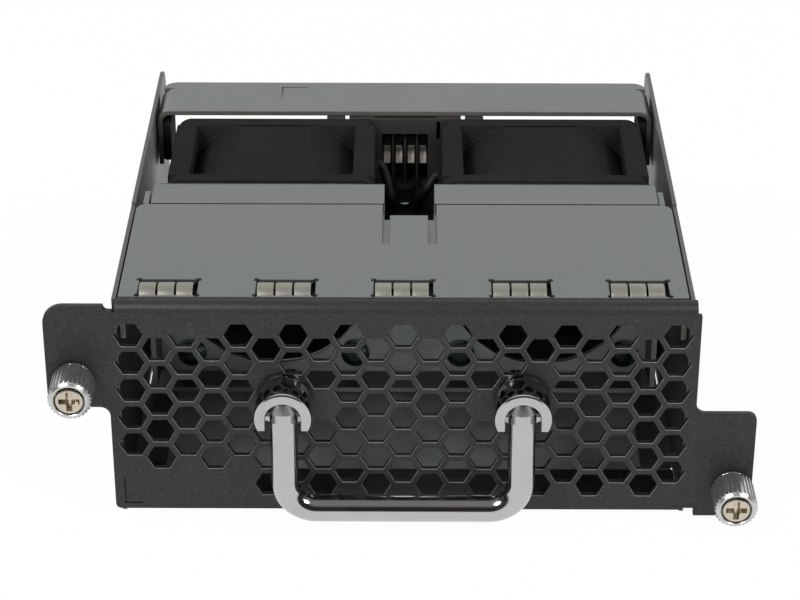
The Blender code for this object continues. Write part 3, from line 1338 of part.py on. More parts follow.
def thumbscrew(side):
    """Ferrule in the ear, and the knob, bolt and retaining washer that slide and turn in it."""
    x, z = KNOB_PLACE[side]
    place = (x, 0, z)
    bore = BOLT_RADIUS + GAP
    sleeve = bore + FERRULE_WALL
    shoulder_front = KNOB_BACK + GAP
    head_seat = KNOB_FRONT + BOLT_HEAD_HEIGHT
    cup_floor = head_seat + GAP + KNOB_WEB
    nose = cup_floor + GAP
    turned(f"{side}_thumbscrew_ferrule", [
        (bore, PANEL_SHEET),
        (sleeve, PANEL_SHEET),
        (sleeve, -GAP),
        (FERRULE_SHOULDER, -GAP),
        (FERRULE_SHOULDER, shoulder_front),
        (sleeve, shoulder_front),
        (sleeve, nose),
        (bore, nose),
    ], NICKEL, place)
    knob = piece(
        f"{side}_thumbscrew_knob",
        extruded([knurled_outline()], KNOB_FRONT, KNOB_BACK, "Y"),
        NICKEL, place,
    )
    cut(knob, "cup", rod(sleeve + GAP, cup_floor, KNOB_BACK + PAST, "Y"), place)
    cut(knob, "shank_hole", rod(bore, KNOB_FRONT, KNOB_BACK, "Y", SMALL_SIDES), place)
    seat = rod(BOLT_HEAD + GAP, KNOB_FRONT - PAST, head_seat + GAP, "Y")
    cut(knob, "head_seat", seat, place)
    retainer_front = PANEL_SHEET + BOLT_TRAVEL + GAP
    retainer_rear = retainer_front + RETAINER_HEIGHT
    bolt_end = retainer_rear + BOLT_OVERHANG
    bolt = turned(f"{side}_thumbscrew_bolt", [
        (0, bolt_end),
        (BOLT_RADIUS - BOLT_TIP, bolt_end),
        (BOLT_RADIUS, bolt_end - BOLT_TIP),
        (BOLT_RADIUS, head_seat),
        (BOLT_HEAD, head_seat),
        (BOLT_HEAD, KNOB_FRONT + BOLT_HEAD_EDGE),
        (BOLT_HEAD - BOLT_HEAD_EDGE, KNOB_FRONT),
        (0, KNOB_FRONT),
    ], WARM_STEEL, place)
    reach = BOLT_CROSS_SHARE * BOLT_HEAD
    cross_recess(bolt, KNOB_FRONT, BOLT_CROSS_DEPTH, BOLT_CROSS_WIDTH, reach)
    turned(f"{side}_thumbscrew_retainer", [
        (bore, retainer_rear),
        (RETAINER_RADIUS, retainer_rear),
        (RETAINER_RADIUS, retainer_front),
        (bore, retainer_front),
    ], STEEL, place, SMALL_SIDES)


def stand_on_footprint():
    """Moves the tray's frame so that the origin lies under the middle of its outer box."""
    bpy.context.view_layer.update()
    graph = bpy.context.evaluated_depsgraph_get()
    corners = []
    for obj in PARTS.objects:
        if obj.type == "MESH":
            solid = obj.evaluated_get(graph)
            corners += [solid.matrix_world @ Vector(corner) for corner in solid.bound_box]
    low = Vector([min(corner[axis] for corner in corners) for axis in range(3)])
    high = Vector([max(corner[axis] for corner in corners) for axis in range(3)])
    TRAY.location = (-(low.x + high.x) / 2, -(low.y + high.y) / 2, -low.z)


def build():
    front_panel()
    base_pan()
    front_cover()
    fan_bracket()
    rear_crossbar()
    for number, x in enumerate(spring_places(), 1):
        spring_strip(number, x)
    for side in SIDES:
        side_wall(side)
        fan_housing(side)
        fan_gasket(side)
        fan_rotor(side)
        fan_motor(side)
        fan_screws(side)
        fan_lead(side)
        handle_post(side)
        thumbscrew(side)
    connector_housing()
    connector_contacts()
    connector_bracket()
    shelf_screw()
    handle_bail()
    stand_on_footprint()


build()
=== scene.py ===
# %% [markdown]
# # Dressing a switch fan tray
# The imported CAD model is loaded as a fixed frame. This lesson gives every piece its real finish and
# rebuilds the pieces whose edges, knurls or curves need more shape than the CAD solids hold.
# All sizes are in millimetres of the tray's own panel frame: the panel's front face is y = 0, its lower
# edge is z = 0 and x = 0 lies midway between the side walls.

import math
import random

import bmesh
import bpy
import numpy as np
from mathutils import Matrix, Vector


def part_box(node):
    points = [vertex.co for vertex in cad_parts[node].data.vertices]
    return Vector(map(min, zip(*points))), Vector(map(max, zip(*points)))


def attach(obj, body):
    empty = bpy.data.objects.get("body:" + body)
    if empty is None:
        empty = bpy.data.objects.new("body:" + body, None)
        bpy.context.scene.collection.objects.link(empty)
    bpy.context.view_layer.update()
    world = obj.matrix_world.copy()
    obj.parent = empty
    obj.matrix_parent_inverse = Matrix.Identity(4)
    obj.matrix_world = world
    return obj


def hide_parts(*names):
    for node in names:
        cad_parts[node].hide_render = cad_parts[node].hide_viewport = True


MM = 0.001
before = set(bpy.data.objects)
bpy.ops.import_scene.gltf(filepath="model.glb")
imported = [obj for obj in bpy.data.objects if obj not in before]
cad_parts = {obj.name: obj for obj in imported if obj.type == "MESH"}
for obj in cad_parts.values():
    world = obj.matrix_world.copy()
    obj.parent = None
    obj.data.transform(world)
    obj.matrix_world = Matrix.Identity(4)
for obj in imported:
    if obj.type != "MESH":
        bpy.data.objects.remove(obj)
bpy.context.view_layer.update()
panel_low, panel_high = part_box("front_panel")
ORIGIN = Vector(((panel_low.x + panel_high.x) / 2, panel_low.y, panel_low.z + 1.2 * MM))


def at(x, y, z):
    """A point of the panel frame, given in millimetres, as a point of the scene."""
    return ORIGIN + Vector((x, y, z)) * MM


# %% [markdown]
# ## Camera
# A product photograph is taken with a long lens, so parallel edges stay nearly parallel. The lens and the
# camera's place come from the object's own straight edges: 113 mm on a 36 mm sensor, half a metre away,
# looking 29 degrees down. Building the camera's matrix from three axes avoids any doubt about angles.

# %% Camera
PITCH, YAW, ROLL = math.radians(28.83), math.radians(-0.223), math.radians(0.0676)
ahead = Vector((math.sin(YAW) * math.cos(PITCH), math.cos(YAW) * math.cos(PITCH), -math.sin(PITCH)))
level = Vector((math.cos(YAW), -math.sin(YAW), 0))
upward = level.cross(ahead)
right_axis = math.cos(ROLL) * level + math.sin(ROLL) * upward
up_axis = math.cos(ROLL) * upward - math.sin(ROLL) * level
camera_data = bpy.data.cameras.new("camera")
camera_data.sensor_width = 36.0
camera_data.lens = 2509.0 / 800 * 36.0
camera_data.clip_start = 0.01
camera = bpy.data.objects.new("camera", camera_data)
bpy.context.scene.collection.objects.link(camera)
turn = Matrix((right_axis, up_axis, -ahead)).transposed().to_4x4()
camera.matrix_world = Matrix.Translation(at(0.9, -378.9, 251.7)) @ turn
bpy.context.scene.camera = camera
print("camera at", camera.location, "lens", round(camera_data.lens, 1))

# %% [markdown]
# ## Writing shaders as sums
# A node tree is easier to read as arithmetic. One small class wraps a socket, so that `1 - mask * 0.5`
# adds the Math nodes, and one method makes every other node.

# %% Socket arithmetic
class Socket:
    """An output socket that can be added, subtracted, multiplied and divided."""

    def __init__(self, tree, socket):
        self.tree = tree
        self.socket = socket

    def out(self, name):
        return Socket(self.tree, find_socket(self.socket.node.outputs, name))

    def maths(self, operation, first, second):
        return self.tree.node("ShaderNodeMath", {"operation": operation}, {0: first, 1: second})

    def __add__(self, other):
        return self.maths("ADD", self, other)

    def __sub__(self, other):
        return self.maths("SUBTRACT", self, other)

    def __mul__(self, other):
        return self.maths("MULTIPLY", self, other)

    def __truediv__(self, other):
        return self.maths("DIVIDE", self, other)

    def __pow__(self, other):
        return self.maths("POWER", self, other)

    def __radd__(self, other):
        return self.maths("ADD", other, self)

    def __rsub__(self, other):
        return self.maths("SUBTRACT", other, self)

    def __rmul__(self, other):
        return self.maths("MULTIPLY", other, self)

    def __rtruediv__(self, other):
        return self.maths("DIVIDE", other, self)

    def above(self, other):
        return self.maths("GREATER_THAN", self, other)

    def biggest(self, other):
        return self.maths("MAXIMUM", self, other)


def find_socket(sockets, key):
    if isinstance(key, int):
        return sockets[key]
    for socket in sockets:
        if key in (socket.identifier, socket.name) and socket.enabled:
            return socket
    raise KeyError(f"no socket {key!r} among {[s.identifier for s in sockets]}")


class Tree:
    """Makes the nodes of one node tree."""

    def __init__(self, tree):
        self.tree = tree

    def node(self, kind, settings=None, values=None):
        """A node of this type: settings first, then values or links for its sockets."""
        made = self.tree.nodes.new(kind)
        for name, value in (settings or {}).items():
            if name == "stops":
                ramp = made.color_ramp
                while len(ramp.elements) < len(value):
                    ramp.elements.new(0.5)
                for element, (place, colour) in zip(ramp.elements, value):
                    element.position = place
                    element.color = (*colour, 1.0)
            else:
                setattr(made, name, value)
        for key, value in (values or {}).items():
            self.put(find_socket(made.inputs, key), value)
        return Socket(self, made.outputs[0]) if len(made.outputs) else made

    def put(self, target, value):
        if isinstance(value, Socket):
            self.tree.links.new(value.socket, target)
        elif value is not None:
            is_colour = target.type == "RGBA" and len(value) == 3
            target.default_value = (*value, 1.0) if is_colour else value

    def mixed(self, factor, first, second, blend="MIX"):
        settings = {"data_type": "RGBA", "blend_type": blend}
        values = {"Factor_Float": factor, "A_Color": first, "B_Color": second}
        return self.node("ShaderNodeMix", settings, values).out("Result_Color")

    def noise(self, where, scale, detail=2.0, roughness=0.5):
        values = {"Vector": where, "Scale": scale, "Detail": detail, "Roughness": roughness}
        return self.node("ShaderNodeTexNoise", {}, values)

    def stretched(self, where, scale):
        return self.node("ShaderNodeMapping", {}, {"Vector": where, "Scale": scale})

    def between(self, value, low, high, to_low=0.0, to_high=1.0):
        """The value's stretch from low to high as a smooth stretch from to_low to to_high."""
        settings = {"interpolation_type": "SMOOTHSTEP"}
        values = {"Value": value, "From Min": low, "From Max": high}
        values.update({"To Min": to_low, "To Max": to_high})
        return self.node("ShaderNodeMapRange", settings, values)

    def bump(self, height, strength, distance, normal=None):
        values = {"Height": height, "Strength": strength, "Distance": distance, "Normal": normal}
        return self.node("ShaderNodeBump", {}, values)


print("socket class ready")

# %% [markdown]
# ## Finishes
# Each finish starts from a Principled BSDF. Only its colour, roughness, coat and normal vary over the
# surface; every other number is set on the shader itself. Patterns read Object coordinates in metres, so
# a noise scale of 2000 gives features of about half a millimetre.


def finish(name, slot, recipe, **fixed):
    """A material whose recipe returns the links for the shader; fixed sets plain numbers on it."""
    material = bpy.data.materials.new(name)
    material.use_nodes = True
    shader = material.node_tree.nodes["Principled BSDF"]
    tree = Tree(material.node_tree)
    where = tree.node("ShaderNodeTexCoord").out("Object")
    for key, value in fixed.items():
        tree.put(shader.inputs[key.replace("_", " ")], value)
    for key, value in recipe(tree, where).items():
        tree.put(shader.inputs[key], value)
    return material


def scaled(colour, factor):
    return tuple(part * factor for part in colour)


print("finish helper ready")

# %% [markdown]
# ### Charcoal powder coat
# The front panel is powder coated: a dark charcoal with a fine sandy skin that scatters light into tiny
# light and dark grains. Two noises make it. The fine one raises the skin through a Bump node and picks
# out the grains; the broad one lets the tone drift slightly, as a sprayed coat does. The rims of the
# holes take a far lighter, glossier copy of the coat, a painted highlight that draws thin bright lines,
# and down the holes' walls a darker, duller copy paints the shade inside the holes.

# %% Charcoal powder coat
CHARCOAL = (0.0180, 0.0184, 0.0190)


def powder_coat(tree, where):
    grain = tree.noise(where, 2300.0, 3.0, 0.65)
    drift = tree.noise(where, 45.0, 2.0)
    bright = tree.between(grain, 0.50, 0.72)
    tone = tree.mixed(drift, scaled(CHARCOAL, 0.86), scaled(CHARCOAL, 1.12))
    colour = tree.mixed(bright * 0.6, tone, scaled(CHARCOAL, 2.6))
    return {
        "Base Color": colour,
        "Roughness": tree.between(grain, 0.3, 0.75, 0.50, 0.38),
        "Normal": tree.bump(grain, 0.42, 0.00009),
    }


# Painted highlight: the holes' rims take a coat 13 to 19 times lighter than the panel, so they show thin
# bright lines.
def rim_coat(tree, where):
    grain = tree.noise(where, 1500.0, 2.0)
    return {
        "Base Color": tree.mixed(grain, scaled(CHARCOAL, 13.0), scaled(CHARCOAL, 19.0)),
        "Roughness": tree.between(grain, 0.3, 0.7, 0.24, 0.36),
        "Normal": tree.bump(grain, 0.2, 0.00005),
    }


# Painted shade: the holes' walls take a darker, duller copy of the coat.
def hole_coat(tree, where):
    grain = tree.noise(where, 1800.0, 2.0)
    return {
        "Base Color": tree.mixed(grain, scaled(CHARCOAL, 0.7), scaled(CHARCOAL, 1.2)),
        "Roughness": tree.between(grain, 0.3, 0.7, 0.5, 0.7),
    }


panel_paint = finish("charcoal_powder_coat", "panel_paint", powder_coat, Specular_IOR_Level=0.3)
rim_highlight_paint = finish("painted_highlight_rim_coat", "panel_paint", rim_coat, Specular_IOR_Level=0.75)
hole_shade_paint = finish("painted_shade_hole_coat", "panel_paint", hole_coat, Specular_IOR_Level=0.1)
print(panel_paint.name, rim_highlight_paint.name, hole_shade_paint.name)

# %% [markdown]
# ### Zinc-plated sheet
# The chassis sheet is steel with a grey-green zinc chromate skin. It reads as a satin metal: it mirrors
# the pale backdrop in one even tone on the tops, and turns dark inside the tray, where only black fans
# stand opposite. Faint lines are left by the rolling mill. The walls stood upright in the plating bath,
# so theirs ran down in dull streaks; their zinc is also painted much darker, a painted shade for the gap
# between walls and fans. The faces inside the tray take a pale, dull zinc: painted light, for the light
# that reaches them from the front. A sheared edge is bare, browner steel.

# %% Zinc-plated sheet
ZINC = (0.162, 0.176, 0.168)


def zinc_skin(tree, where):
    cloud = tree.noise(where, 70.0, 4.0, 0.6)
    grain = tree.noise(where, 3800.0, 2.0)
    lines = tree.noise(tree.stretched(where, (30.0, 2400.0, 2400.0)), 1.0, 3.0)
    tone = tree.mixed(cloud, scaled(ZINC, 0.93), scaled(ZINC, 1.06))
    tone = tree.mixed(tree.between(grain, 0.55, 0.8) * 0.35, tone, scaled(ZINC, 1.3))
    return {
        "Base Color": tree.mixed(tree.between(lines, 0.6, 0.8) * 0.25, tone, scaled(ZINC, 0.8)),
        "Roughness": tree.between(cloud, 0.3, 0.7, 0.30, 0.38),
        "Normal": tree.bump(grain + lines * 0.5, 0.12, 0.00004),
    }


# Painted shade: the walls' zinc is about half as light as the tops' zinc, for the shade between walls and
# fans; the streaks on it are the plating's own.
def wall_shade_and_streaks(tree, where):
    streaks = tree.noise(tree.stretched(where, (400.0, 700.0, 28.0)), 1.0, 4.0, 0.62)
    cloud = tree.noise(where, 110.0, 3.0, 0.6)
    tone = tree.mixed(tree.between(streaks, 0.30, 0.70), scaled(SHADED_WALL_ZINC, 0.86), scaled(SHADED_WALL_ZINC, 1.12))
    return {
        "Base Color": tree.mixed(tree.between(cloud, 0.5, 0.75) * 0.4, tone, scaled(SHADED_WALL_ZINC, 0.85)),
        "Roughness": tree.between(streaks + cloud * 0.5, 0.5, 1.0, 0.38, 0.52),
        "Normal": tree.bump(streaks, 0.1, 0.00004),
    }


# Painted light: the faces inside the tray take a pale, nearly non-metallic zinc, for the light they catch
# from the front.
def inner_painted_light_skin(tree, where):
    cloud = tree.noise(where, 80.0, 4.0, 0.6)
    return {
        "Base Color": tree.mixed(tree.between(cloud, 0.35, 0.7), (0.40, 0.43, 0.41), (0.29, 0.32, 0.305)),
        "Roughness": tree.between(cloud, 0.3, 0.7, 0.42, 0.55),
        "Normal": tree.bump(cloud, 0.05, 0.0001),
    }


# Painted shade: a darker zinc for the walls.
SHADED_WALL_ZINC = (0.092, 0.097, 0.093)
zinc_sheet = finish("zinc_chromate_sheet", "zinc_sheet", zinc_skin, Metallic=0.78)
wall_sheet = finish("streaked_shaded_wall_sheet", "zinc_sheet", wall_shade_and_streaks, Metallic=0.45)
inner_sheet = finish("inner_sheet_painted_light", "zinc_sheet", inner_painted_light_skin, Metallic=0.15)
print(zinc_sheet.name, wall_sheet.name, inner_sheet.name)

# %% [markdown]
# ### Bright metals
# Chrome is a mirror, so its look is its surroundings; only a trace of haze is added. Its faces cut on a
# lathe are satin. Spring steel is brushed along the finger, the knobs are satin with fine turning marks,
# and the screws have a warm plating.

# %% Bright metals
def brushed(colour, low, high, stretch, depth):
    """A recipe for a metal with fine lines along one axis."""
    def recipe(tree, where):
        lines = tree.noise(tree.stretched(where, stretch), 1.0, 3.0, 0.6)
        haze = tree.noise(where, 260.0, 3.0)
        tone = tree.mixed(lines, scaled(colour, 0.82), scaled(colour, 1.12))
        tone = tree.mixed(tree.between(haze, 0.45, 0.75) * 0.5, tone, scaled(colour, 0.85))
        return {
            "Base Color": tone,
            "Roughness": tree.between(lines + haze * 0.5, 0.4, 1.1, low, high),
            "Normal": tree.bump(lines, depth, 0.00003),
        }
    return recipe


def chrome_skin(tree, where):
    haze = tree.noise(where, 180.0, 3.0)
    return {
        "Base Color": tree.mixed(haze, (0.44, 0.44, 0.445), (0.52, 0.52, 0.52)),
        "Roughness": tree.between(haze, 0.35, 0.75, 0.10, 0.17),
        "Normal": tree.bump(tree.noise(where, 90.0, 2.0), 0.03, 0.0001),
    }


chrome = finish("polished_chrome", "chrome_plate", chrome_skin, Metallic=1.0)
satin_chrome = finish("satin_machined_face", "chrome_plate",
                      brushed((0.51, 0.51, 0.50), 0.28, 0.40, (900, 900, 900), 0.15), Metallic=1.0)
# Painted shade: the pins' steel is near black, for the shade inside the posts' slots.
pin_steel = finish("pin_steel_painted_shade", "pin_steel",
                   brushed((0.10, 0.10, 0.10), 0.25, 0.38, (60, 3000, 3000), 0.1), Metallic=1.0)
spring_steel = finish("brushed_spring_steel", "spring_steel",
                      brushed((0.33, 0.325, 0.285), 0.46, 0.60, (3200, 120, 120), 0.15), Metallic=1.0)
contact_metal = finish("plated_contact_strip", "spring_steel",
                       brushed((0.74, 0.72, 0.66), 0.28, 0.40, (1200, 300, 300), 0.1), Metallic=1.0)
# Painted shade: a near-black copy of the contact metal for the contacts' upper parts, which sit in the
# plug's shade.
contact_shade_metal = finish("painted_shade_contact_root", "spring_steel",
                      brushed((0.07, 0.07, 0.066), 0.40, 0.55, (1200, 300, 300), 0.1), Metallic=1.0)
knob_metal = finish("satin_knob_aluminium", "knob_aluminium",
                    brushed((0.60, 0.61, 0.60), 0.24, 0.40, (900, 3000, 900), 0.2), Metallic=0.93)
blued_screw = finish("blue_passivated_screw", "screw_steel",
                     brushed((0.34, 0.45, 0.45), 0.14, 0.28, (700, 700, 700), 0.12), Metallic=1.0)
cut_edge = finish("sheared_edge", "zinc_sheet",
                  brushed((0.20, 0.185, 0.170), 0.36, 0.52, (350, 350, 1800), 0.35), Metallic=0.6)
dressed_end = finish("hammered_bar_end", "chrome_plate",
                     brushed((0.62, 0.62, 0.61), 0.22, 0.40, (700, 700, 700), 1.0), Metallic=0.9)
screw_metal = finish("warm_screw_plating", "screw_steel",
                     brushed((0.62, 0.56, 0.46), 0.16, 0.34, (700, 700, 700), 0.12), Metallic=1.0)
print("bright metals ready")

# %% [markdown]
# ### Plastics, foam and the fan's inner parts
# The fans are glass-filled black plastic from a spark-eroded mould, so they have a fine matte grain. The
# plug body is the same in a slightly warmer black. The gasket is open foam: small pits all over, painted
# dark inside as shade.

# %% Plastics and foam
def moulded(colour, grain_scale, low, high):
    """A recipe for plastic from a grained mould."""
    def recipe(tree, where):
        grain = tree.noise(where, grain_scale, 2.0)
        drift = tree.noise(where, 60.0, 3.0)
        tone = tree.mixed(drift, scaled(colour, 0.8), scaled(colour, 1.25))
        return {
            "Base Color": tree.mixed(tree.between(grain, 0.55, 0.8) * 0.5, tone, scaled(colour, 1.9)),
            "Roughness": tree.between(grain, 0.3, 0.7, low, high),
            "Normal": tree.bump(grain, 0.25, 0.00005),
        }
    return recipe


def foam_skin(tree, where):
    cells = tree.node("ShaderNodeTexVoronoi", {"feature": "DISTANCE_TO_EDGE"},
                      {"Vector": where, "Scale": 1700.0})
    walls = tree.between(cells, 0.02, 0.2)
    return {
        # Painted shade: the cells' hollows are darker than their walls.
        "Base Color": tree.mixed(walls, (0.030, 0.030, 0.031), (0.007, 0.007, 0.008)),
        "Roughness": 0.85 + walls * 0.1,
        "Normal": tree.bump(1 - walls, 0.7, 0.00025),
    }


def sleeve_skin(tree, where):
    weave = tree.node("ShaderNodeTexWave", {"wave_type": "BANDS", "bands_direction": "DIAGONAL"},
                      {"Vector": where, "Scale": 700.0, "Distortion": 0.6, "Detail": 1.0})
    return {
        "Base Color": tree.mixed(weave, (0.003, 0.003, 0.004), (0.009, 0.009, 0.010)),
        "Roughness": tree.between(weave, 0.0, 1.0, 0.62, 0.42),
        "Normal": tree.bump(weave, 0.4, 0.0001),
    }


def winding_skin(tree, where):
    turns = tree.node("ShaderNodeTexWave", {"wave_type": "BANDS", "bands_direction": "Y"},
                      {"Vector": where, "Scale": 900.0, "Distortion": 0.4})
    return {
        # Painted light and shade: each turn of wire is lighter at its crest and darker between turns.
        "Base Color": tree.mixed(turns, (0.32, 0.12, 0.05), (0.62, 0.30, 0.15)),
        "Roughness": tree.between(turns, 0.0, 1.0, 0.5, 0.3),
        "Normal": tree.bump(turns, 0.6, 0.0002),
    }


fan_plastic = finish("grained_fan_plastic", "fan_plastic",
                     moulded((0.0215, 0.0220, 0.0225), 2400.0, 0.45, 0.60), Specular_IOR_Level=0.0)
plug_plastic = finish("plug_body_plastic", "connector_plastic",
                      moulded((0.034, 0.034, 0.033), 3000.0, 0.42, 0.6), Specular_IOR_Level=0.25)
# Painted shade: the zinc shelf takes a near-black coat, for the deep shade it stands in.
shelf_shade_coat = finish("shelf_painted_shade_black", "zinc_sheet",
                    moulded((0.009, 0.009, 0.0095), 1500.0, 0.34, 0.5), Specular_IOR_Level=0.3)
# Painted shade: a black finish for the strip that fills the dark gap beside the shelf.
shade_strip_rubber = finish("painted_shade_edge_strip", "connector_plastic",
                     moulded((0.006, 0.006, 0.006), 1500.0, 0.6, 0.8), Specular_IOR_Level=0.2)
foam = finish("gasket_foam", "foam", foam_skin, Specular_IOR_Level=0.2)
lead_sleeve = finish("woven_lead_sleeve", "lead_sleeve", sleeve_skin, Specular_IOR_Level=0.35)
winding = finish("enamelled_winding", "copper_winding", winding_skin, Metallic=0.7)
bronze = finish("sintered_bronze", "bearing_bronze",
                brushed((0.45, 0.31, 0.15), 0.35, 0.55, (800, 800, 800), 0.2), Metallic=1.0)
print("plastics and foam ready")

# %% [markdown]
# ### Which node gets which finish
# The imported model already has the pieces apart, so a finish goes on by the node's name. Pieces that stay
# as CAD solids keep their mesh and only take the material.

# %% Dress the CAD nodes
FINISH_OF = (
    ("front_panel", panel_paint), ("spring_strip", spring_steel), ("handle_post", chrome),
    ("handle_bail", chrome), ("pivot_pin", pin_steel), ("post_nut", screw_metal),
    ("knob", knob_metal), ("bolt", screw_metal), ("ferrule", knob_metal), ("retainer", screw_metal),
    ("gasket", foam), ("stator", winding), ("bearing", bronze), ("fan_shaft", pin_steel),
    ("fan_screw", screw_metal), ("shelf_screw", screw_metal), ("fan_lead", lead_sleeve),
    ("contact", spring_steel), ("connector_housing", plug_plastic), ("connector_bracket", zinc_sheet),
    ("fan_housing", fan_plastic), ("fan_rotor", fan_plastic), ("fan_bracket", zinc_sheet),
    ("cover", zinc_sheet), ("wall", zinc_sheet), ("pan", zinc_sheet), ("crossbar", zinc_sheet),
)


def finish_for(name):
    return next(material for key, material in FINISH_OF if key in name)


for name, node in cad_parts.items():
    node.data.materials.clear()
    node.data.materials.append(finish_for(name))
print(len(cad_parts), "nodes dressed")

# %% [markdown]
# ## Sheet metal with a true edge
# A punched sheet never has a razor edge: its rim is slightly rounded, and that rim catches a thin line of
# light which tells the eye that the part is metal. The helpers below turn a flat outline, with any holes,
# into a sheet whose rims are rounded in two small steps. A Bevel modifier could do it, but it stumbles on
# faces with many holes, while an outline can be moved inwards exactly.

# %% Outlines
from mathutils.geometry import tessellate_polygon


def rounded(corners, steps=8):
    """A closed outline from corners (u, v, radius), each rounded by an arc."""
    points = []
    for index, (u, v, radius) in enumerate(corners):
        here = Vector((u, v))
        if radius == 0:
            points.append(here)
            continue
        back = (Vector(corners[index - 1][:2]) - here).normalized()
        ahead = (Vector(corners[(index + 1) % len(corners)][:2]) - here).normalized()
        half = back.angle(ahead) / 2
        centre = here + (back + ahead).normalized() * radius / math.sin(half)
        first = here + back * radius / math.tan(half) - centre
        sweep = -first.angle_signed(here + ahead * radius / math.tan(half) - centre)
        for step in range(steps + 1):
            points.append(centre + Matrix.Rotation(sweep * step / steps, 2) @ first)
    return points


def oblong(left, right, low, high, radius=0.0, steps=8):
    return rounded([(left, low, radius), (right, low, radius), (right, high, radius),
                    (left, high, radius)], steps)


def circle(u, v, radius, sides=48):
    turns = [2 * math.pi * k / sides for k in range(sides)]
    return [Vector((u + radius * math.cos(t), v + radius * math.sin(t))) for t in turns]


def inset(points, distance):
    """The outline moved to its inner side by a distance."""
    count = len(points)
    area = sum(points[k - 1].cross(points[k]) for k in range(count))
    side = 1 if area > 0 else -1
    moved = []
    for k in range(count):
        before = (points[k] - points[k - 1]).normalized()
        after = (points[(k + 1) % count] - points[k]).normalized()
        first = Vector((-before.y, before.x)) * side
        second = Vector((-after.y, after.x)) * side
        moved.append(points[k] + (first + second) * distance / (1 + first.dot(second)))
    return moved


print("a 2 x 1 oblong moved in by 0.1:", inset(oblong(0, 2, 0, 1), 0.1)[0])

# %% [markdown]
# A Shape collects rings of points and the faces between them, in millimetres of the panel frame, and at
# the end becomes one mesh with its doubles merged and its faces turned outwards. Faces that stand square
# to an axis are shaded flat and all others smooth, so that a wide flat top stays even up to its rim.

# %% Shape
ORDER = {"X": (2, 0, 1), "Y": (0, 2, 1), "Z": (0, 1, 2)}


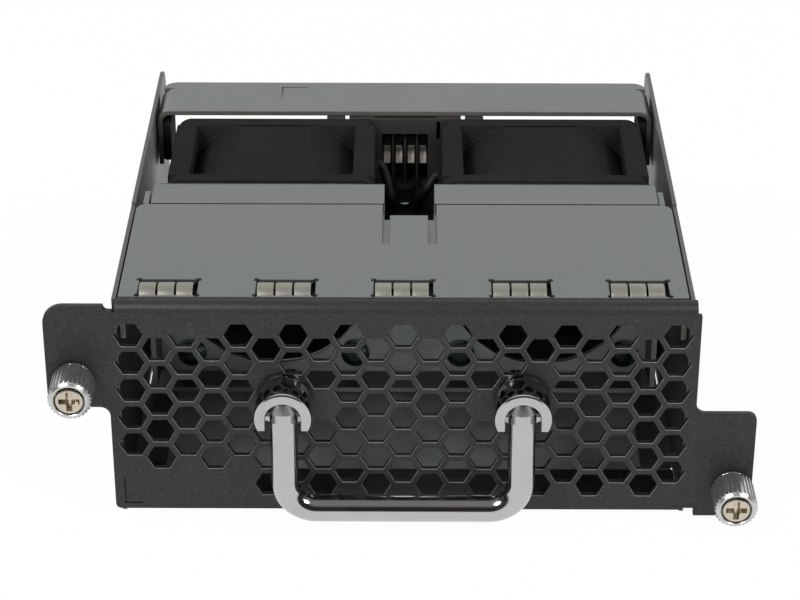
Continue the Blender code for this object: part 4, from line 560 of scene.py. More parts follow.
class Shape:
    """Rings of points and the faces between them."""

    def __init__(self):
        self.points, self.faces, self.looks = [], [], []

    def ring(self, outline, axis, depth):
        start = len(self.points)
        for u, v in outline:
            flat = (u, v, depth)
            self.points.append(tuple(flat[k] for k in ORDER[axis]))
        return list(range(start, len(self.points)))

    def band(self, first, second, look=0):
        count = len(first)
        for k in range(count):
            after = (k + 1) % count
            self.faces.append((first[k], first[after], second[after], second[k]))
            self.looks.append(look)

    def cap(self, outlines, axis, depth, look=0):
        flat = [point for outline in outlines for point in outline]
        ring = self.ring(flat, axis, depth)
        lists = [[Vector((u, v, 0)) for u, v in outline] for outline in outlines]
        for face in tessellate_polygon(lists):
            self.faces.append(tuple(ring[k] for k in face))
            self.looks.append(look)

    def rims(self, outline, axis, low, high, edge, look=0):
        """The rounded wall of an outline from low to high. A negative edge rounds a hole."""
        size = abs(edge)
        steps = [(edge, low), (edge * 0.3, low + size * 0.3), (0, low + size),
                 (0, high - size), (edge * 0.3, high - size * 0.3), (edge, high)]
        rings = [self.ring(inset(outline, away), axis, depth) for away, depth in steps]
        for first, second in zip(rings, rings[1:]):
            self.band(first, second, look)

    def sheet(self, outline, axis, low, high, edge=0.12, holes=(), looks=(0, 0, 0)):
        """A flat piece with rounded rims. looks gives the finish of its low face, rims and high face."""
        self.rims(outline, axis, low, high, edge, looks[1])
        for hole in holes:
            self.rims(hole, axis, low, high, -edge, looks[1])
        inner = [inset(outline, edge)] + [inset(hole, -edge) for hole in holes]
        self.cap(inner, axis, low, looks[0])
        self.cap(inner, axis, high, looks[2])
        return self

    def pocket(self, outline, axis, mouth, floor_depth, taper=0.0, look=0):
        """The walls and floor of a recess whose mouth was left open in a cap."""
        bottom = inset(outline, taper)
        self.band(self.ring(outline, axis, mouth), self.ring(bottom, axis, floor_depth), look)
        self.cap([bottom], axis, floor_depth, look)

    def turned(self, profile, centre, sides=64, look=0):
        """A closed or open profile (radius, y) turned about Y through centre (x, z)."""
        rings = [self.ring(circle(*centre, max(radius, 1e-4), sides), "Y", y) for radius, y in profile]
        for first, second in zip(rings, rings[1:]):
            self.band(first, second, look)
        return rings

    def tube(self, path, radii, sides=32, look=0):
        """A round bar along a path, with its ends closed."""
        path = [Vector(point) for point in path]
        tangent = (path[1] - path[0]).normalized()
        normal = tangent.orthogonal().normalized()
        rings = []
        for k, point in enumerate(path):
            along = (path[min(k + 1, len(path) - 1)] - path[max(k - 1, 0)]).normalized()
            normal = (tangent.rotation_difference(along) @ normal).normalized()
            tangent = along
            side = tangent.cross(normal)
            start = len(self.points)
            for turn in (2 * math.pi * j / sides for j in range(sides)):
                spoke = normal * math.cos(turn) + side * math.sin(turn)
                self.points.append(tuple(point + spoke * radii[k]))
            rings.append(list(range(start, len(self.points))))
        for first, second in zip(rings, rings[1:]):
            self.band(first, second, look)
        for ring in (rings[0], rings[-1]):
            self.faces.append(tuple(ring))
            self.looks.append(look)

    def take(self, mesh, look=0):
        """Adds the faces of a mesh that already stands in the scene's frame."""
        start = len(self.points)
        self.points += [tuple((vertex.co - ORIGIN) / MM) for vertex in mesh.vertices]
        for polygon in mesh.polygons:
            self.faces.append(tuple(start + k for k in polygon.vertices))
            self.looks.append(look)

    def piece(self, name, body, materials, nodes=(), smooth=35, fold=None):
        """The collected faces as a piece that rides on a body and stands for CAD nodes."""
        mesh = bpy.data.meshes.new(name)
        mesh.from_pydata([at(*point) for point in self.points], [], self.faces)
        for material in materials:
            mesh.materials.append(material)
        mesh.polygons.foreach_set("material_index", self.looks)
        tidy = bmesh.new()
        tidy.from_mesh(mesh)
        bmesh.ops.remove_doubles(tidy, verts=tidy.verts, dist=2e-6)
        bmesh.ops.dissolve_degenerate(tidy, edges=tidy.edges, dist=1e-7)
        if fold:
            fold(tidy)
        tidy.normal_update()
        bmesh.ops.recalc_face_normals(tidy, faces=tidy.faces)
        curved = [max(abs(part) for part in face.normal) < 0.99999 for face in tidy.faces]
        tidy.to_mesh(mesh)
        tidy.free()
        mesh.set_sharp_from_angle(angle=math.radians(smooth))
        mesh.polygons.foreach_set("use_smooth", curved)
        obj = bpy.data.objects.new(name, mesh)
        bpy.context.scene.collection.objects.link(obj)
        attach(obj, body)
        if nodes:
            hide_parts(*nodes)
        print(name, len(mesh.polygons), "faces")
        return obj


print("shape class ready")

# %% [markdown]
# ## Geometry Nodes helpers
# Whatever repeats is grown by a node tree: the tree says the rule once, and its named inputs hold the
# sizes. Each tree ends in Realize Instances and Set Material, and the result is kept as a plain mesh.

# %% Trees with named inputs
def new_tree(name, inputs):
    """A geometry tree with a geometry input, the named inputs and a geometry output."""
    group = bpy.data.node_groups.new(name, "GeometryNodeTree")
    group.interface.new_socket("Geometry", in_out="INPUT", socket_type="NodeSocketGeometry")
    for label, kind in inputs:
        group.interface.new_socket(label, in_out="INPUT", socket_type="NodeSocket" + kind)
    group.interface.new_socket("Geometry", in_out="OUTPUT", socket_type="NodeSocketGeometry")
    tree = Tree(group)
    return tree, tree.node("NodeGroupInput")


def end_tree(tree, given, geometry):
    """Realises the instances, sets the material and links the output."""
    real = tree.node("GeometryNodeRealizeInstances", {}, {"Geometry": geometry})
    values = {"Geometry": real, "Material": given.out("Material")}
    tree.node("NodeGroupOutput", {}, {0: tree.node("GeometryNodeSetMaterial", {}, values)})


def grown(data, tree, values):
    """The mesh that the tree makes from this curve or mesh data."""
    holder = bpy.data.objects.new("holder", data)
    bpy.context.scene.collection.objects.link(holder)
    modifier = holder.modifiers.new(tree.tree.name, "NODES")
    modifier.node_group = tree.tree
    sockets = [item for item in tree.tree.interface.items_tree if item.in_out == "INPUT"]
    for socket in sockets:
        if socket.name in values:
            modifier[socket.identifier] = values[socket.name]
    bpy.context.view_layer.update()
    graph = bpy.context.evaluated_depsgraph_get()
    mesh = bpy.data.meshes.new_from_object(holder.evaluated_get(graph))
    bpy.data.objects.remove(holder)
    print(tree.tree.name, "made", len(mesh.polygons), "faces")
    return mesh


print("tree helpers ready")

# %% [markdown]
# ### Copies round an axis, copies in a row
# Fan blades, motor struts and the ridges of a knurl stand round an axis; spring fingers and plug
# contacts stand in a row. Both trees make a few points, put the incoming shape on each, and move on.

# %% Ring and row trees
ring_tree, given = new_tree("ring_of_copies", (
    ("Count", "Int"), ("First Angle", "Float"), ("Centre", "Vector"), ("Material", "Material")))
index = ring_tree.node("GeometryNodeInputIndex")
spots = ring_tree.node("GeometryNodePoints", {}, {"Count": given.out("Count")})
turn = given.out("First Angle") + index * (2 * math.pi) / given.out("Count")
spin = ring_tree.node("ShaderNodeCombineXYZ", {}, {"Y": turn})
copies = ring_tree.node("GeometryNodeInstanceOnPoints", {}, {
    "Points": spots, "Instance": given.out("Geometry"), "Rotation": spin})
moved = ring_tree.node("GeometryNodeTransform", {}, {
    "Geometry": copies, "Translation": given.out("Centre")})
end_tree(ring_tree, given, moved)

row_tree, given = new_tree("row_of_copies", (
    ("Count", "Int"), ("Step", "Vector"), ("Start", "Vector"), ("Material", "Material")))
index = row_tree.node("GeometryNodeInputIndex")
spots = row_tree.node("GeometryNodePoints", {}, {"Count": given.out("Count")})
along = row_tree.node("ShaderNodeVectorMath", {"operation": "SCALE"}, {
    "Vector": given.out("Step"), "Scale": index})
there = row_tree.node("ShaderNodeVectorMath", {"operation": "ADD"}, {0: along, 1: given.out("Start")})
spots = row_tree.node("GeometryNodeSetPosition", {}, {"Geometry": spots, "Position": there})
copies = row_tree.node("GeometryNodeInstanceOnPoints", {}, {
    "Points": spots, "Instance": given.out("Geometry")})
end_tree(row_tree, given, copies)
print("ring and row trees:", len(ring_tree.tree.nodes), "and", len(row_tree.tree.nodes), "nodes")

# %% [markdown]
# ## Places of the main pieces
# These are the frame's own sizes in millimetres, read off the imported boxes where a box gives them, so
# that a dressed piece lands exactly on the solid that it stands for.

# %% Main sizes
def flat_box(node):
    """A node's lowest and highest corners in millimetres of the panel frame."""
    low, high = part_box(node)
    return (low - ORIGIN) / MM, (high - ORIGIN) / MM


BODY_TOP = flat_box("front_cover")[1].z
HALF_BODY = flat_box("right_side_wall")[1].x
HALF_FACE = HALF_BODY + 1.0
EAR_REACH = flat_box("front_panel")[1].x
PANEL = 1.2
SIDES = {"left": -1, "right": 1}
POST_X, POST_Z = 20.9, BODY_TOP - 18.45
PIVOT_Z = POST_Z - 0.2
FAN_SIZE = 40.0
FAN_CENTRE = {side: (sum(corner.x for corner in flat_box(f"{side}_fan_housing")) / 2,
                     sum(corner.z for corner in flat_box(f"{side}_fan_housing")) / 2) for side in SIDES}
FAN_FRONT = flat_box("left_fan_housing")[0].y
FAN_REAR = flat_box("left_fan_housing")[1].y
BORE = 18.7
KNOB_AT = {side: (sum(corner.x for corner in flat_box(f"{side}_thumbscrew_knob")) / 2,
                  sum(corner.z for corner in flat_box(f"{side}_thumbscrew_knob")) / 2) for side in SIDES}
KNOB_FRONT = flat_box("left_thumbscrew_knob")[0].y
KNOB_BACK = flat_box("left_thumbscrew_knob")[1].y
print("body top", round(BODY_TOP, 2), "fans at", FAN_CENTRE, "knobs at", KNOB_AT)

# %% [markdown]
# ## Front panel
# The panel is a punched steel sheet: 21 columns of hexagons, left out under the label and round the two
# handle posts. The rule for the holes is simple, so a node tree stands one hole's rounded rim on every
# place and fills the flat skin between the rims with Fill Curve.

# %% The honeycomb tree
comb_tree, given = new_tree("honeycomb", (
    ("Rim", "Object"), ("Columns", "Int"), ("Rows", "Int"), ("Column Pitch", "Float"),
    ("Row Pitch", "Float"), ("Top Row", "Float"), ("Hexagon Radius", "Float"), ("Bare Columns", "Int"),
    ("Post Offset", "Float"), ("Post Height", "Float"), ("Web Width", "Float"), ("Web Height", "Float"),
    ("Thickness", "Float"), ("Material", "Material")))


def comb_maths(operation, first, second=None):
    return comb_tree.node("ShaderNodeMath", {"operation": operation}, {0: first, 1: second})


index = comb_tree.node("GeometryNodeInputIndex")
rows, columns = given.out("Rows"), given.out("Columns")
column = comb_maths("FLOOR", (index + 0.5) / rows)
row = index - column * rows
sideways = (column - (columns - 1) / 2) * given.out("Column Pitch")
stagger = comb_maths("MODULO", column, 2.0) * 0.5
upright = given.out("Top Row") - (row + stagger) * given.out("Row Pitch")
across = (comb_maths("ABSOLUTE", sideways) - given.out("Post Offset")) / given.out("Web Width")
along = (upright - given.out("Post Height")) / given.out("Web Height")
at_post = comb_maths("LESS_THAN", across * across + along * along, 1.0)
at_label = comb_maths("LESS_THAN", column, given.out("Bare Columns")) * row.above(rows - 1.5)
place = comb_tree.node("ShaderNodeCombineXYZ", {}, {"X": sideways, "Y": upright})
spots = comb_tree.node("GeometryNodePoints", {}, {"Count": rows * columns, "Position": place})
spots = comb_tree.node("GeometryNodeDeleteGeometry", {"domain": "POINT"}, {
    "Geometry": spots, "Selection": at_post.biggest(at_label)})
hexagon = comb_tree.node("GeometryNodeCurvePrimitiveCircle", {"mode": "RADIUS"}, {
    "Resolution": 6, "Radius": given.out("Hexagon Radius")})
cells = comb_tree.node("GeometryNodeInstanceOnPoints", {}, {"Points": spots, "Instance": hexagon})
joined = comb_tree.node("GeometryNodeJoinGeometry")
for part in (cells, given.out("Geometry")):
    comb_tree.tree.links.new(part.socket, joined.socket.node.inputs[0])
real = comb_tree.node("GeometryNodeRealizeInstances", {}, {"Geometry": joined})
skin = comb_tree.node("GeometryNodeFillCurve", {}, {"Curve": real})
depth = comb_tree.node("ShaderNodeCombineXYZ", {}, {"Z": 0 - given.out("Thickness")})
back_skin = comb_tree.node("GeometryNodeTransform", {}, {"Geometry": skin, "Translation": depth})
rim = comb_tree.node("GeometryNodeObjectInfo", {}, {"Object": given.out("Rim")}).out("Geometry")
rims = comb_tree.node("GeometryNodeInstanceOnPoints", {}, {"Points": spots, "Instance": rim})
whole = comb_tree.node("GeometryNodeJoinGeometry")
for part in (skin, back_skin, rims):
    comb_tree.tree.links.new(part.socket, whole.socket.node.inputs[0])
end_tree(comb_tree, given, whole)
print("honeycomb tree:", len(comb_tree.tree.nodes), "nodes")

# %% [markdown]
# The tree works flat in its own XY plane, with one hole's rim hung below it. The outline of the panel
# and its round holes go in as a curve. The finished skin is then stood upright and joined by the rims
# of the outline, the rolled lip, the ledge under the spring fingers and the foot.

# %% Panel face
HEX_PITCH = 2 * (HALF_FACE - 3.93) / 20
ROW_PITCH = (BODY_TOP - 6.17 - 5.256) / 5.5
HEX_RADIUS = 0.8813 * math.sqrt(HEX_PITCH * ROW_PITCH) / math.sqrt(3)
PANEL_EDGE = 0.13
face_top = BODY_TOP - 1.6
lip_left, lip_right = 1.7 - HALF_FACE, HALF_FACE - 0.7
left_top = BODY_TOP - 0.35

panel_outline = rounded([
    (-HALF_FACE, 0, 1.0), (HALF_FACE - 1.5, 0, 0.2), (HALF_FACE - 1.5, 0.4, 0.2),
    (HALF_FACE + 0.6, 0.4, 0.2), (HALF_FACE + 0.6, -1.2, 0.2), (EAR_REACH, -1.2, 1.5),
    (EAR_REACH, 20.3, 1.5), (HALF_FACE, 20.3, 1.8), (HALF_FACE, face_top - 0.4, 0.2),
    (lip_right, face_top - 0.4, 0), (lip_right, face_top, 0.15), (lip_left, face_top, 0.15),
    (lip_left, left_top - 1.0, 0.76), (lip_left - 1.9, left_top - 1.0, 0.76),
    (lip_left - 1.9, left_top, 0.3), (-EAR_REACH, left_top, 3.5),
    (-EAR_REACH, left_top - 20.4, 1.5), (-HALF_FACE, left_top - 20.4, 1.8)])
panel_holes = [circle(side * POST_X, POST_Z, 2.2) for side in SIDES.values()]
panel_holes += [circle(x, z, 2.85) for x, z in KNOB_AT.values()]
mark_corner = 1.9 - HALF_FACE
mark = [Vector(point) for point in (
    (mark_corner - 0.2, 1.1), (mark_corner + 3.0, 1.1), (mark_corner + 3.0, 1.5),
    (mark_corner + 0.2, 1.5), (mark_corner + 0.2, 6.7), (mark_corner - 0.2, 6.7))]
print(len(panel_outline), "points round the panel")


def rim_object(radius, thickness, edge):
    """One hexagon's rounded rim, hanging below the XY plane."""
    rim_shape = Shape()
    rim_shape.rims(circle(0, 0, radius, 6), "Z", -thickness, 0, -edge)
    mesh = bpy.data.meshes.new("hexagon_rim")
    mesh.from_pydata([Vector(point) * MM for point in rim_shape.points], [], rim_shape.faces)
    obj = bpy.data.objects.new("hexagon_rim", mesh)
    bpy.context.scene.collection.objects.link(obj)
    return obj


def flat_curve(outlines):
    curve = bpy.data.curves.new("outline", "CURVE")
    curve.dimensions = "3D"
    for outline in outlines:
        spline = curve.splines.new("POLY")
        spline.points.add(len(outline) - 1)
        spline.use_cyclic_u = True
        for point, (u, v) in zip(spline.points, outline):
            point.co = (u * MM, v * MM, 0, 1)
    return curve


rim_holder = rim_object(HEX_RADIUS, PANEL, PANEL_EDGE)
wide_corner = (circle(0, 0, HEX_RADIUS, 6)[0] - inset(circle(0, 0, HEX_RADIUS, 6), -PANEL_EDGE)[0]).length
skin_outlines = [inset(panel_outline, PANEL_EDGE)] + [inset(hole, -PANEL_EDGE) for hole in panel_holes]
skin_outlines.append(mark)
comb = grown(flat_curve(skin_outlines), comb_tree, {
    "Rim": rim_holder, "Columns": 21, "Rows": 6, "Column Pitch": HEX_PITCH * MM,
    "Row Pitch": ROW_PITCH * MM, "Top Row": (BODY_TOP - 6.17) * MM,
    "Hexagon Radius": (HEX_RADIUS + wide_corner) * MM, "Bare Columns": 5, "Post Offset": POST_X * MM,
    "Post Height": POST_Z * MM, "Web Width": 7.2 * MM, "Web Height": 6.2 * MM,
    "Thickness": PANEL * MM, "Material": panel_paint})
bpy.data.objects.remove(rim_holder)
comb.transform(Matrix.Translation(ORIGIN) @ Matrix.Rotation(math.pi / 2, 4, "X"))

# %% Panel piece
panel_shape = Shape()
panel_shape.take(comb)
# The holes' chamfers take the painted-highlight rim coat, and their walls take the painted-shade coat.
panel_shape.looks = [1 if 0.2 < abs(face.normal.y) < 0.9 else 2 if abs(face.normal.y) < 0.2 else 0
                     for face in comb.polygons]
panel_shape.rims(panel_outline, "Y", 0, PANEL, PANEL_EDGE)
for hole in panel_holes:
    panel_shape.rims(hole, "Y", 0, PANEL, -PANEL_EDGE)
panel_shape.pocket(mark, "Y", 0, 0.3, 0.06)
panel_shape.cap([mark], "Y", PANEL)
ledge_bottom = BODY_TOP - 1.85 - PANEL
LIP_REAR = 2.5
lip_profile = rounded([
    (0.06, face_top - 1.4, 0), (0.6, face_top - 1.6, 0), (PANEL, ledge_bottom, 0),
    (LIP_REAR, ledge_bottom, 0.2), (LIP_REAR, BODY_TOP, 0.2), (-0.02, BODY_TOP, 2.2),
    (-0.02, face_top - 1.2, 0)], 14)
panel_shape.sheet(lip_profile, "X", lip_left, lip_right, 0.12)
ledge_half = HALF_BODY - 2.4
panel_shape.sheet(oblong(-ledge_half, ledge_half, 0.7, 14.0, 0.4), "Z", ledge_bottom,
                  ledge_bottom + PANEL, 0.12)
foot_half = HALF_BODY - 1.1
panel_shape.sheet(rounded([(0.6, 0.02, 0), (12.0, 0.02, 0.5), (12.0, PANEL, 0.5), (0.6, PANEL, 0)]),
                  "X", -foot_half, foot_half, 0.1)
panel_shape.piece("panel_with_honeycomb", "tray", [panel_paint, rim_highlight_paint, hole_shade_paint], ["front_panel"],
                  40)

# %% [markdown]
# ## Folded sheet parts
# Walls, bracket, crossbar, floor and shelf are folded from thin sheet. Their solids have the right
# shape but razor edges. A copy of each mesh is merged, its flat faces are joined again, and a Bevel
# modifier takes the edges off, so that each rim catches a thin line of light.

# %% Softened copies
def softened(name, body, nodes, width, material, front=None, segments=2):
    """A copy of CAD nodes with rounded edges, as one piece; front is the finish of its front faces."""
    shape = Shape()
    for node in nodes:
        tidy = bmesh.new()
        tidy.from_mesh(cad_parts[node].data)
        bmesh.ops.remove_doubles(tidy, verts=tidy.verts, dist=1e-6)
        bmesh.ops.dissolve_limit(tidy, angle_limit=math.radians(1), verts=tidy.verts, edges=tidy.edges)
        mesh = bpy.data.meshes.new("plain")
        tidy.to_mesh(mesh)
        tidy.free()
        holder = bpy.data.objects.new("plain", mesh)
        bpy.context.scene.collection.objects.link(holder)
        bevel = holder.modifiers.new("Bevel", "BEVEL")
        bevel.width = width * MM
        bevel.segments = segments
        bevel.limit_method = "ANGLE"
        bevel.angle_limit = math.radians(40)
        bpy.context.view_layer.update()
        graph = bpy.context.evaluated_depsgraph_get()
        soft = bpy.data.meshes.new_from_object(holder.evaluated_get(graph))
        shape.take(soft)
        # Forward-facing faces below the top take the front finish; for the bracket that is the pale
        # painted-light inner sheet.
        if front:
            under = at(0, 0, BODY_TOP - 2).z
            shape.looks[-len(soft.polygons):] = [int(face.normal.y < -0.5 and face.center.z < under)
                                                 for face in soft.polygons]
        bpy.data.objects.remove(holder)
    return shape.piece(name, body, [material, front] if front else [material], nodes, 35)


for side in SIDES:
    softened(f"{side}_wall_sheet", "tray", [f"{side}_side_wall"], 0.10, wall_sheet)
# The floor takes the pale painted-light inner sheet.
softened("floor_sheet", "tray", ["base_pan"], 0.12, inner_sheet)
softened("bracket_sheet", "tray", ["fan_bracket"], 0.12, zinc_sheet, inner_sheet)
# The shelf is zinc sheet, coated here in painted-shade black.
softened("shelf_sheet", "tray", ["connector_bracket"], 0.12, shelf_shade_coat)
softened("plug_body", "tray", ["connector_housing"], 0.15, plug_plastic)

# %% [markdown]
# ## Crossbar
# The bar that ties the walls was punched flat and then folded down at both ends. It is made here in the
# same order: a flat blank with its rims and its engraved mark, cut across where the bends will be, and
# then rolled round the bend radius. Its sheared front edge is bare, so it has a darker finish.

# %% Crossbar
BAR_LOW, BAR_HIGH = flat_box("rear_crossbar")
BAR_FRONT, BAR_REAR, BAR_HALF = BAR_LOW.y, BAR_HIGH.y, BAR_HIGH.x
BAR_BEND = 2.5
BEND_START = BAR_HALF - BAR_BEND
BEND_LENGTH = BAR_BEND * math.pi / 2
blank_half = BEND_START + BEND_LENGTH + (BODY_TOP - BAR_BEND - BAR_LOW.z)
skirt_rear, tongue = BAR_REAR - 3.0, BAR_HALF - 0.5
relief = skirt_rear - 0.35
bar_outline = rounded([
    (-blank_half, BAR_FRONT, 0.5), (blank_half, BAR_FRONT, 0.5), (blank_half, relief, 0.5),
    (BEND_START, relief, 0), (BEND_START, skirt_rear, 0), (tongue, skirt_rear, 0.2),
    (tongue, BAR_REAR, 2.75), (-tongue, BAR_REAR, 2.75), (-tongue, skirt_rear, 0.2),
    (-BEND_START, skirt_rear, 0), (-BEND_START, relief, 0), (-blank_half, relief, 0.5)], 10)
mark_x, mark_y = -24.9, BAR_REAR - 2.5
bar_mark = [Vector(point) for point in (
    (mark_x - 0.2, mark_y - 4.9), (mark_x + 0.2, mark_y - 4.9), (mark_x + 0.2, mark_y - 0.2),
    (mark_x + 4.9, mark_y - 0.2), (mark_x + 4.9, mark_y + 0.2), (mark_x - 0.2, mark_y + 0.2))]


def fold_bar(tidy):
    """Cuts the blank along both bends and rolls its ends down."""
    for sign in SIDES.values():
        for step in range(11):
            line = sign * (BEND_START + BEND_LENGTH * step / 10)
            everything = tidy.verts[:] + tidy.edges[:] + tidy.faces[:]
            bmesh.ops.bisect_plane(tidy, geom=everything, dist=1e-7, plane_co=at(line, 0, 0),
                                   plane_no=(1, 0, 0))
    for vertex in tidy.verts:
        x, y, z = (vertex.co - ORIGIN) / MM
        past = abs(x) - BEND_START
        if past <= 0 or y > relief + 0.01:
            continue
        angle = min(past / BAR_BEND, math.pi / 2)
        radius = BAR_BEND - (BODY_TOP - z)
        drop = max(0.0, past - BEND_LENGTH)
        vertex.co = at(math.copysign(BEND_START + radius * math.sin(angle), x), y,
                       BODY_TOP - BAR_BEND + radius * math.cos(angle) - drop)


bar_shape = Shape()
bar_shape.rims(bar_outline, "Z", BODY_TOP - 1, BODY_TOP, 0.14, 1)
bar_shape.cap([inset(bar_outline, 0.14)], "Z", BODY_TOP - 1)
bar_shape.cap([inset(bar_outline, 0.14), bar_mark], "Z", BODY_TOP)
bar_shape.pocket(bar_mark, "Z", BODY_TOP, BODY_TOP - 0.3, 0.05, 1)
bar_shape.piece("folded_crossbar", "tray", [zinc_sheet, cut_edge], ["rear_crossbar"], fold=fold_bar)

# %% Crossbar pads
for side, sign in SIDES.items():
    near, far = sorted((sign * (BAR_HALF - 1.0), sign * (BAR_HALF - 2.6)))
    pad_shape = Shape()
    pad_shape.sheet(oblong(BAR_FRONT + 0.2, BAR_FRONT + 10.4, BAR_LOW.z + 0.8, BODY_TOP - 2.9, 0.6), "X",
                    near, far, 0.35)
    pad_shape.piece(f"{side}_bar_pad", "tray", [foam], smooth=50)

# %% [markdown]
# ## Front cover
# The cover is punched: five slots with a small round relief in each corner, and a notch at the rear.
# Its wide face needs clean rims round the reliefs, so it is built from outlines like the panel.

# %% Front cover
def relieved_slot(left, right, low, high, radius, steps=10):
    """A rectangular slot with a round relief at each corner."""
    corners = ((left, low, 0.5), (right, low, 1.0), (right, high, 1.5), (left, high, 0))
    points = []
    for u, v, start in corners:
        for step in range(steps + 1):
            angle = math.pi * (start + 1.5 * step / steps)
            points.append(Vector((u + radius * math.cos(angle), v + radius * math.sin(angle))))
    return points


COVER_HALF = HALF_BODY - 1.1
COVER_FRONT, COVER_REAR = flat_box("front_cover")[0].y, flat_box("front_cover")[1].y
SLOT_FRONT, SLOT_REAR = 3.6, 9.3
SPRING_PITCH = (HALF_BODY - 9.6) / 2
notch = COVER_REAR - 15.8
TAB_REAR = COVER_REAR - 4.4
cover_outline = rounded([
    (-COVER_HALF, COVER_FRONT, 0.1), (COVER_HALF, COVER_FRONT, 0.1), (COVER_HALF, COVER_REAR, 2.0),
    (6.0, COVER_REAR, 0.3), (6.0, notch, 0.2), (4.45, notch, 0.2), (4.45, TAB_REAR, 0.3),
    (-2.6, TAB_REAR, 0.3), (-2.6, notch, 0.2), (-3.9, notch, 0.2), (-3.9, COVER_REAR, 0.3),
    (-COVER_HALF, COVER_REAR, 2.0)])
strip_places = [(k - 2) * SPRING_PITCH for k in range(5)]
slots = [relieved_slot(x - 5.2, x + 5.2, SLOT_FRONT, SLOT_REAR, 0.5) for x in strip_places]
cover_shape = Shape()
cover_shape.sheet(cover_outline, "Z", BODY_TOP - 1, BODY_TOP, 0.14, slots)
for sign in SIDES.values():
    low_x, high_x = sorted((sign * (COVER_HALF - 1.0), sign * (COVER_HALF - 0.01)))
    cover_shape.sheet(oblong(3.8, COVER_REAR - 3, BODY_TOP - 9, BODY_TOP - 0.4, 0.3), "X",
                      low_x, high_x, 0.1, (), (0, 1, 0))
cover_shape.piece("slotted_cover", "tray", [zinc_sheet, cut_edge], ["front_cover"], 35)

# %% [markdown]
# ## Spring fingers
# Five strips of spring steel stand in the slots, each cut into three arched fingers that press on the
# chassis above. One finger is a thin band bent over an ellipse, with its two cut edges rolled slightly.
# The row tree sets three of them side by side, and again to set five strips.

# %% Spring fingers
FINGER_WIDTH = (9.4 - 2 * 0.35) / 3
SPRING_LOW = BODY_TOP - 1.55


def arch_line(shrink, steps=22):
    """The finger's line over the slot, from front to rear, moved inwards by shrink."""
    front, rear = SLOT_FRONT + 0.3, SLOT_REAR - 0.3
    middle, reach = (front + rear) / 2, (rear - front) / 2 - shrink
    rise = BODY_TOP + 0.55 - SPRING_LOW - shrink
    turns = [math.pi * (1 - k / steps) for k in range(steps + 1)]
    return [(middle + reach * math.cos(t), SPRING_LOW + rise * math.sin(t)) for t in turns]


def finger_mesh():
    """One finger, standing at x = 0, as a closed band with rolled cut edges."""
    finger = Shape()
    half = FINGER_WIDTH / 2
    section = ((-half + 0.22, 0.0), (half - 0.22, 0.0), (half - 0.07, 0.035), (half, 0.12),
               (half - 0.05, 0.25), (-half + 0.05, 0.25), (-half, 0.12), (-half + 0.07, 0.035))
    lines = [arch_line(shrink) for _, shrink in section]
    loops = []
    for k in range(len(lines[0])):
        start = len(finger.points)
        for (x, _), line in zip(section, lines):
            finger.points.append((x, *line[k]))
        loops.append(list(range(start, len(finger.points))))
    for first, second in zip(loops, loops[1:]):
        finger.band(first, second)
    for loop in (loops[0], loops[-1]):
        finger.faces.append(tuple(loop))
        finger.looks.append(0)
    mesh = bpy.data.meshes.new("finger")
    mesh.from_pydata([Vector(point) * MM for point in finger.points], [], finger.faces)
    return mesh


three = grown(finger_mesh(), row_tree, {
    "Count": 3, "Step": ((FINGER_WIDTH + 0.35) * MM, 0, 0),
    "Start": (-(FINGER_WIDTH + 0.35) * MM, 0, 0), "Material": spring_steel})
SPRING_SHIFT = -0.28
fingers = grown(three, row_tree, {
    "Count": 5, "Step": (SPRING_PITCH * MM, 0, 0), "Start": ((SPRING_SHIFT - 2 * SPRING_PITCH) * MM, 0, 0),
    "Material": spring_steel})
fingers.transform(Matrix.Translation(ORIGIN))
spring_shape = Shape()
spring_shape.take(fingers)
for x in strip_places:
    for front, rear in ((3.1, SLOT_FRONT + 0.62), (SLOT_REAR - 0.62, SLOT_REAR + 1.9)):
        spring_shape.sheet(oblong(x + SPRING_SHIFT - 4.7, x + SPRING_SHIFT + 4.7, front, rear, 0.2), "Z",
                           SPRING_LOW, SPRING_LOW + 0.25, 0.06)
spring_shape.piece("spring_fingers", "tray", [spring_steel],
                   [f"spring_strip_{k}" for k in range(1, 6)], 40)

# %% [markdown]
# ## Fans
# Each fan is a square frame with a round barrel between two flanges, a slim post in each corner, a motor
# base on four struts, and a rotor with seven blades. The barrel is flattened where it meets the frame's
# sides. The flanges are plates with true rims, and the ring tree sets the struts, posts and blades.

# %% Fan frames
def ring_of(mesh_shape, count, first_angle, centre, material):
    """Copies of a shape round the Y axis, stood at a centre of the panel frame."""
    mesh = bpy.data.meshes.new("one")
    mesh.from_pydata([Vector(point) * MM for point in mesh_shape.points], [], mesh_shape.faces)
    ring = grown(mesh, ring_tree, {
        "Count": count, "First Angle": first_angle, "Centre": Vector(centre) * MM, "Material": material})
    ring.transform(Matrix.Translation(ORIGIN))
    return ring


FLANGE = 2.7
BARREL_RADIUS, BARREL_FLAT = BORE + 2.3, FAN_SIZE / 2 - 0.2


def barrel_outline(x, z, grow=0.0, steps=16):
    """The barrel's round section, flattened on its four sides."""
    start = math.acos(BARREL_FLAT / BARREL_RADIUS)
    points = []
    for quarter in range(4):
        for step in range(steps + 1):
            turn = quarter * math.pi / 2 + start + (math.pi / 2 - 2 * start) * step / steps
            radius = BARREL_RADIUS + grow * math.sin(math.pi * step / steps)
            points.append(Vector((x + radius * math.cos(turn), z + radius * math.sin(turn))))
    return points


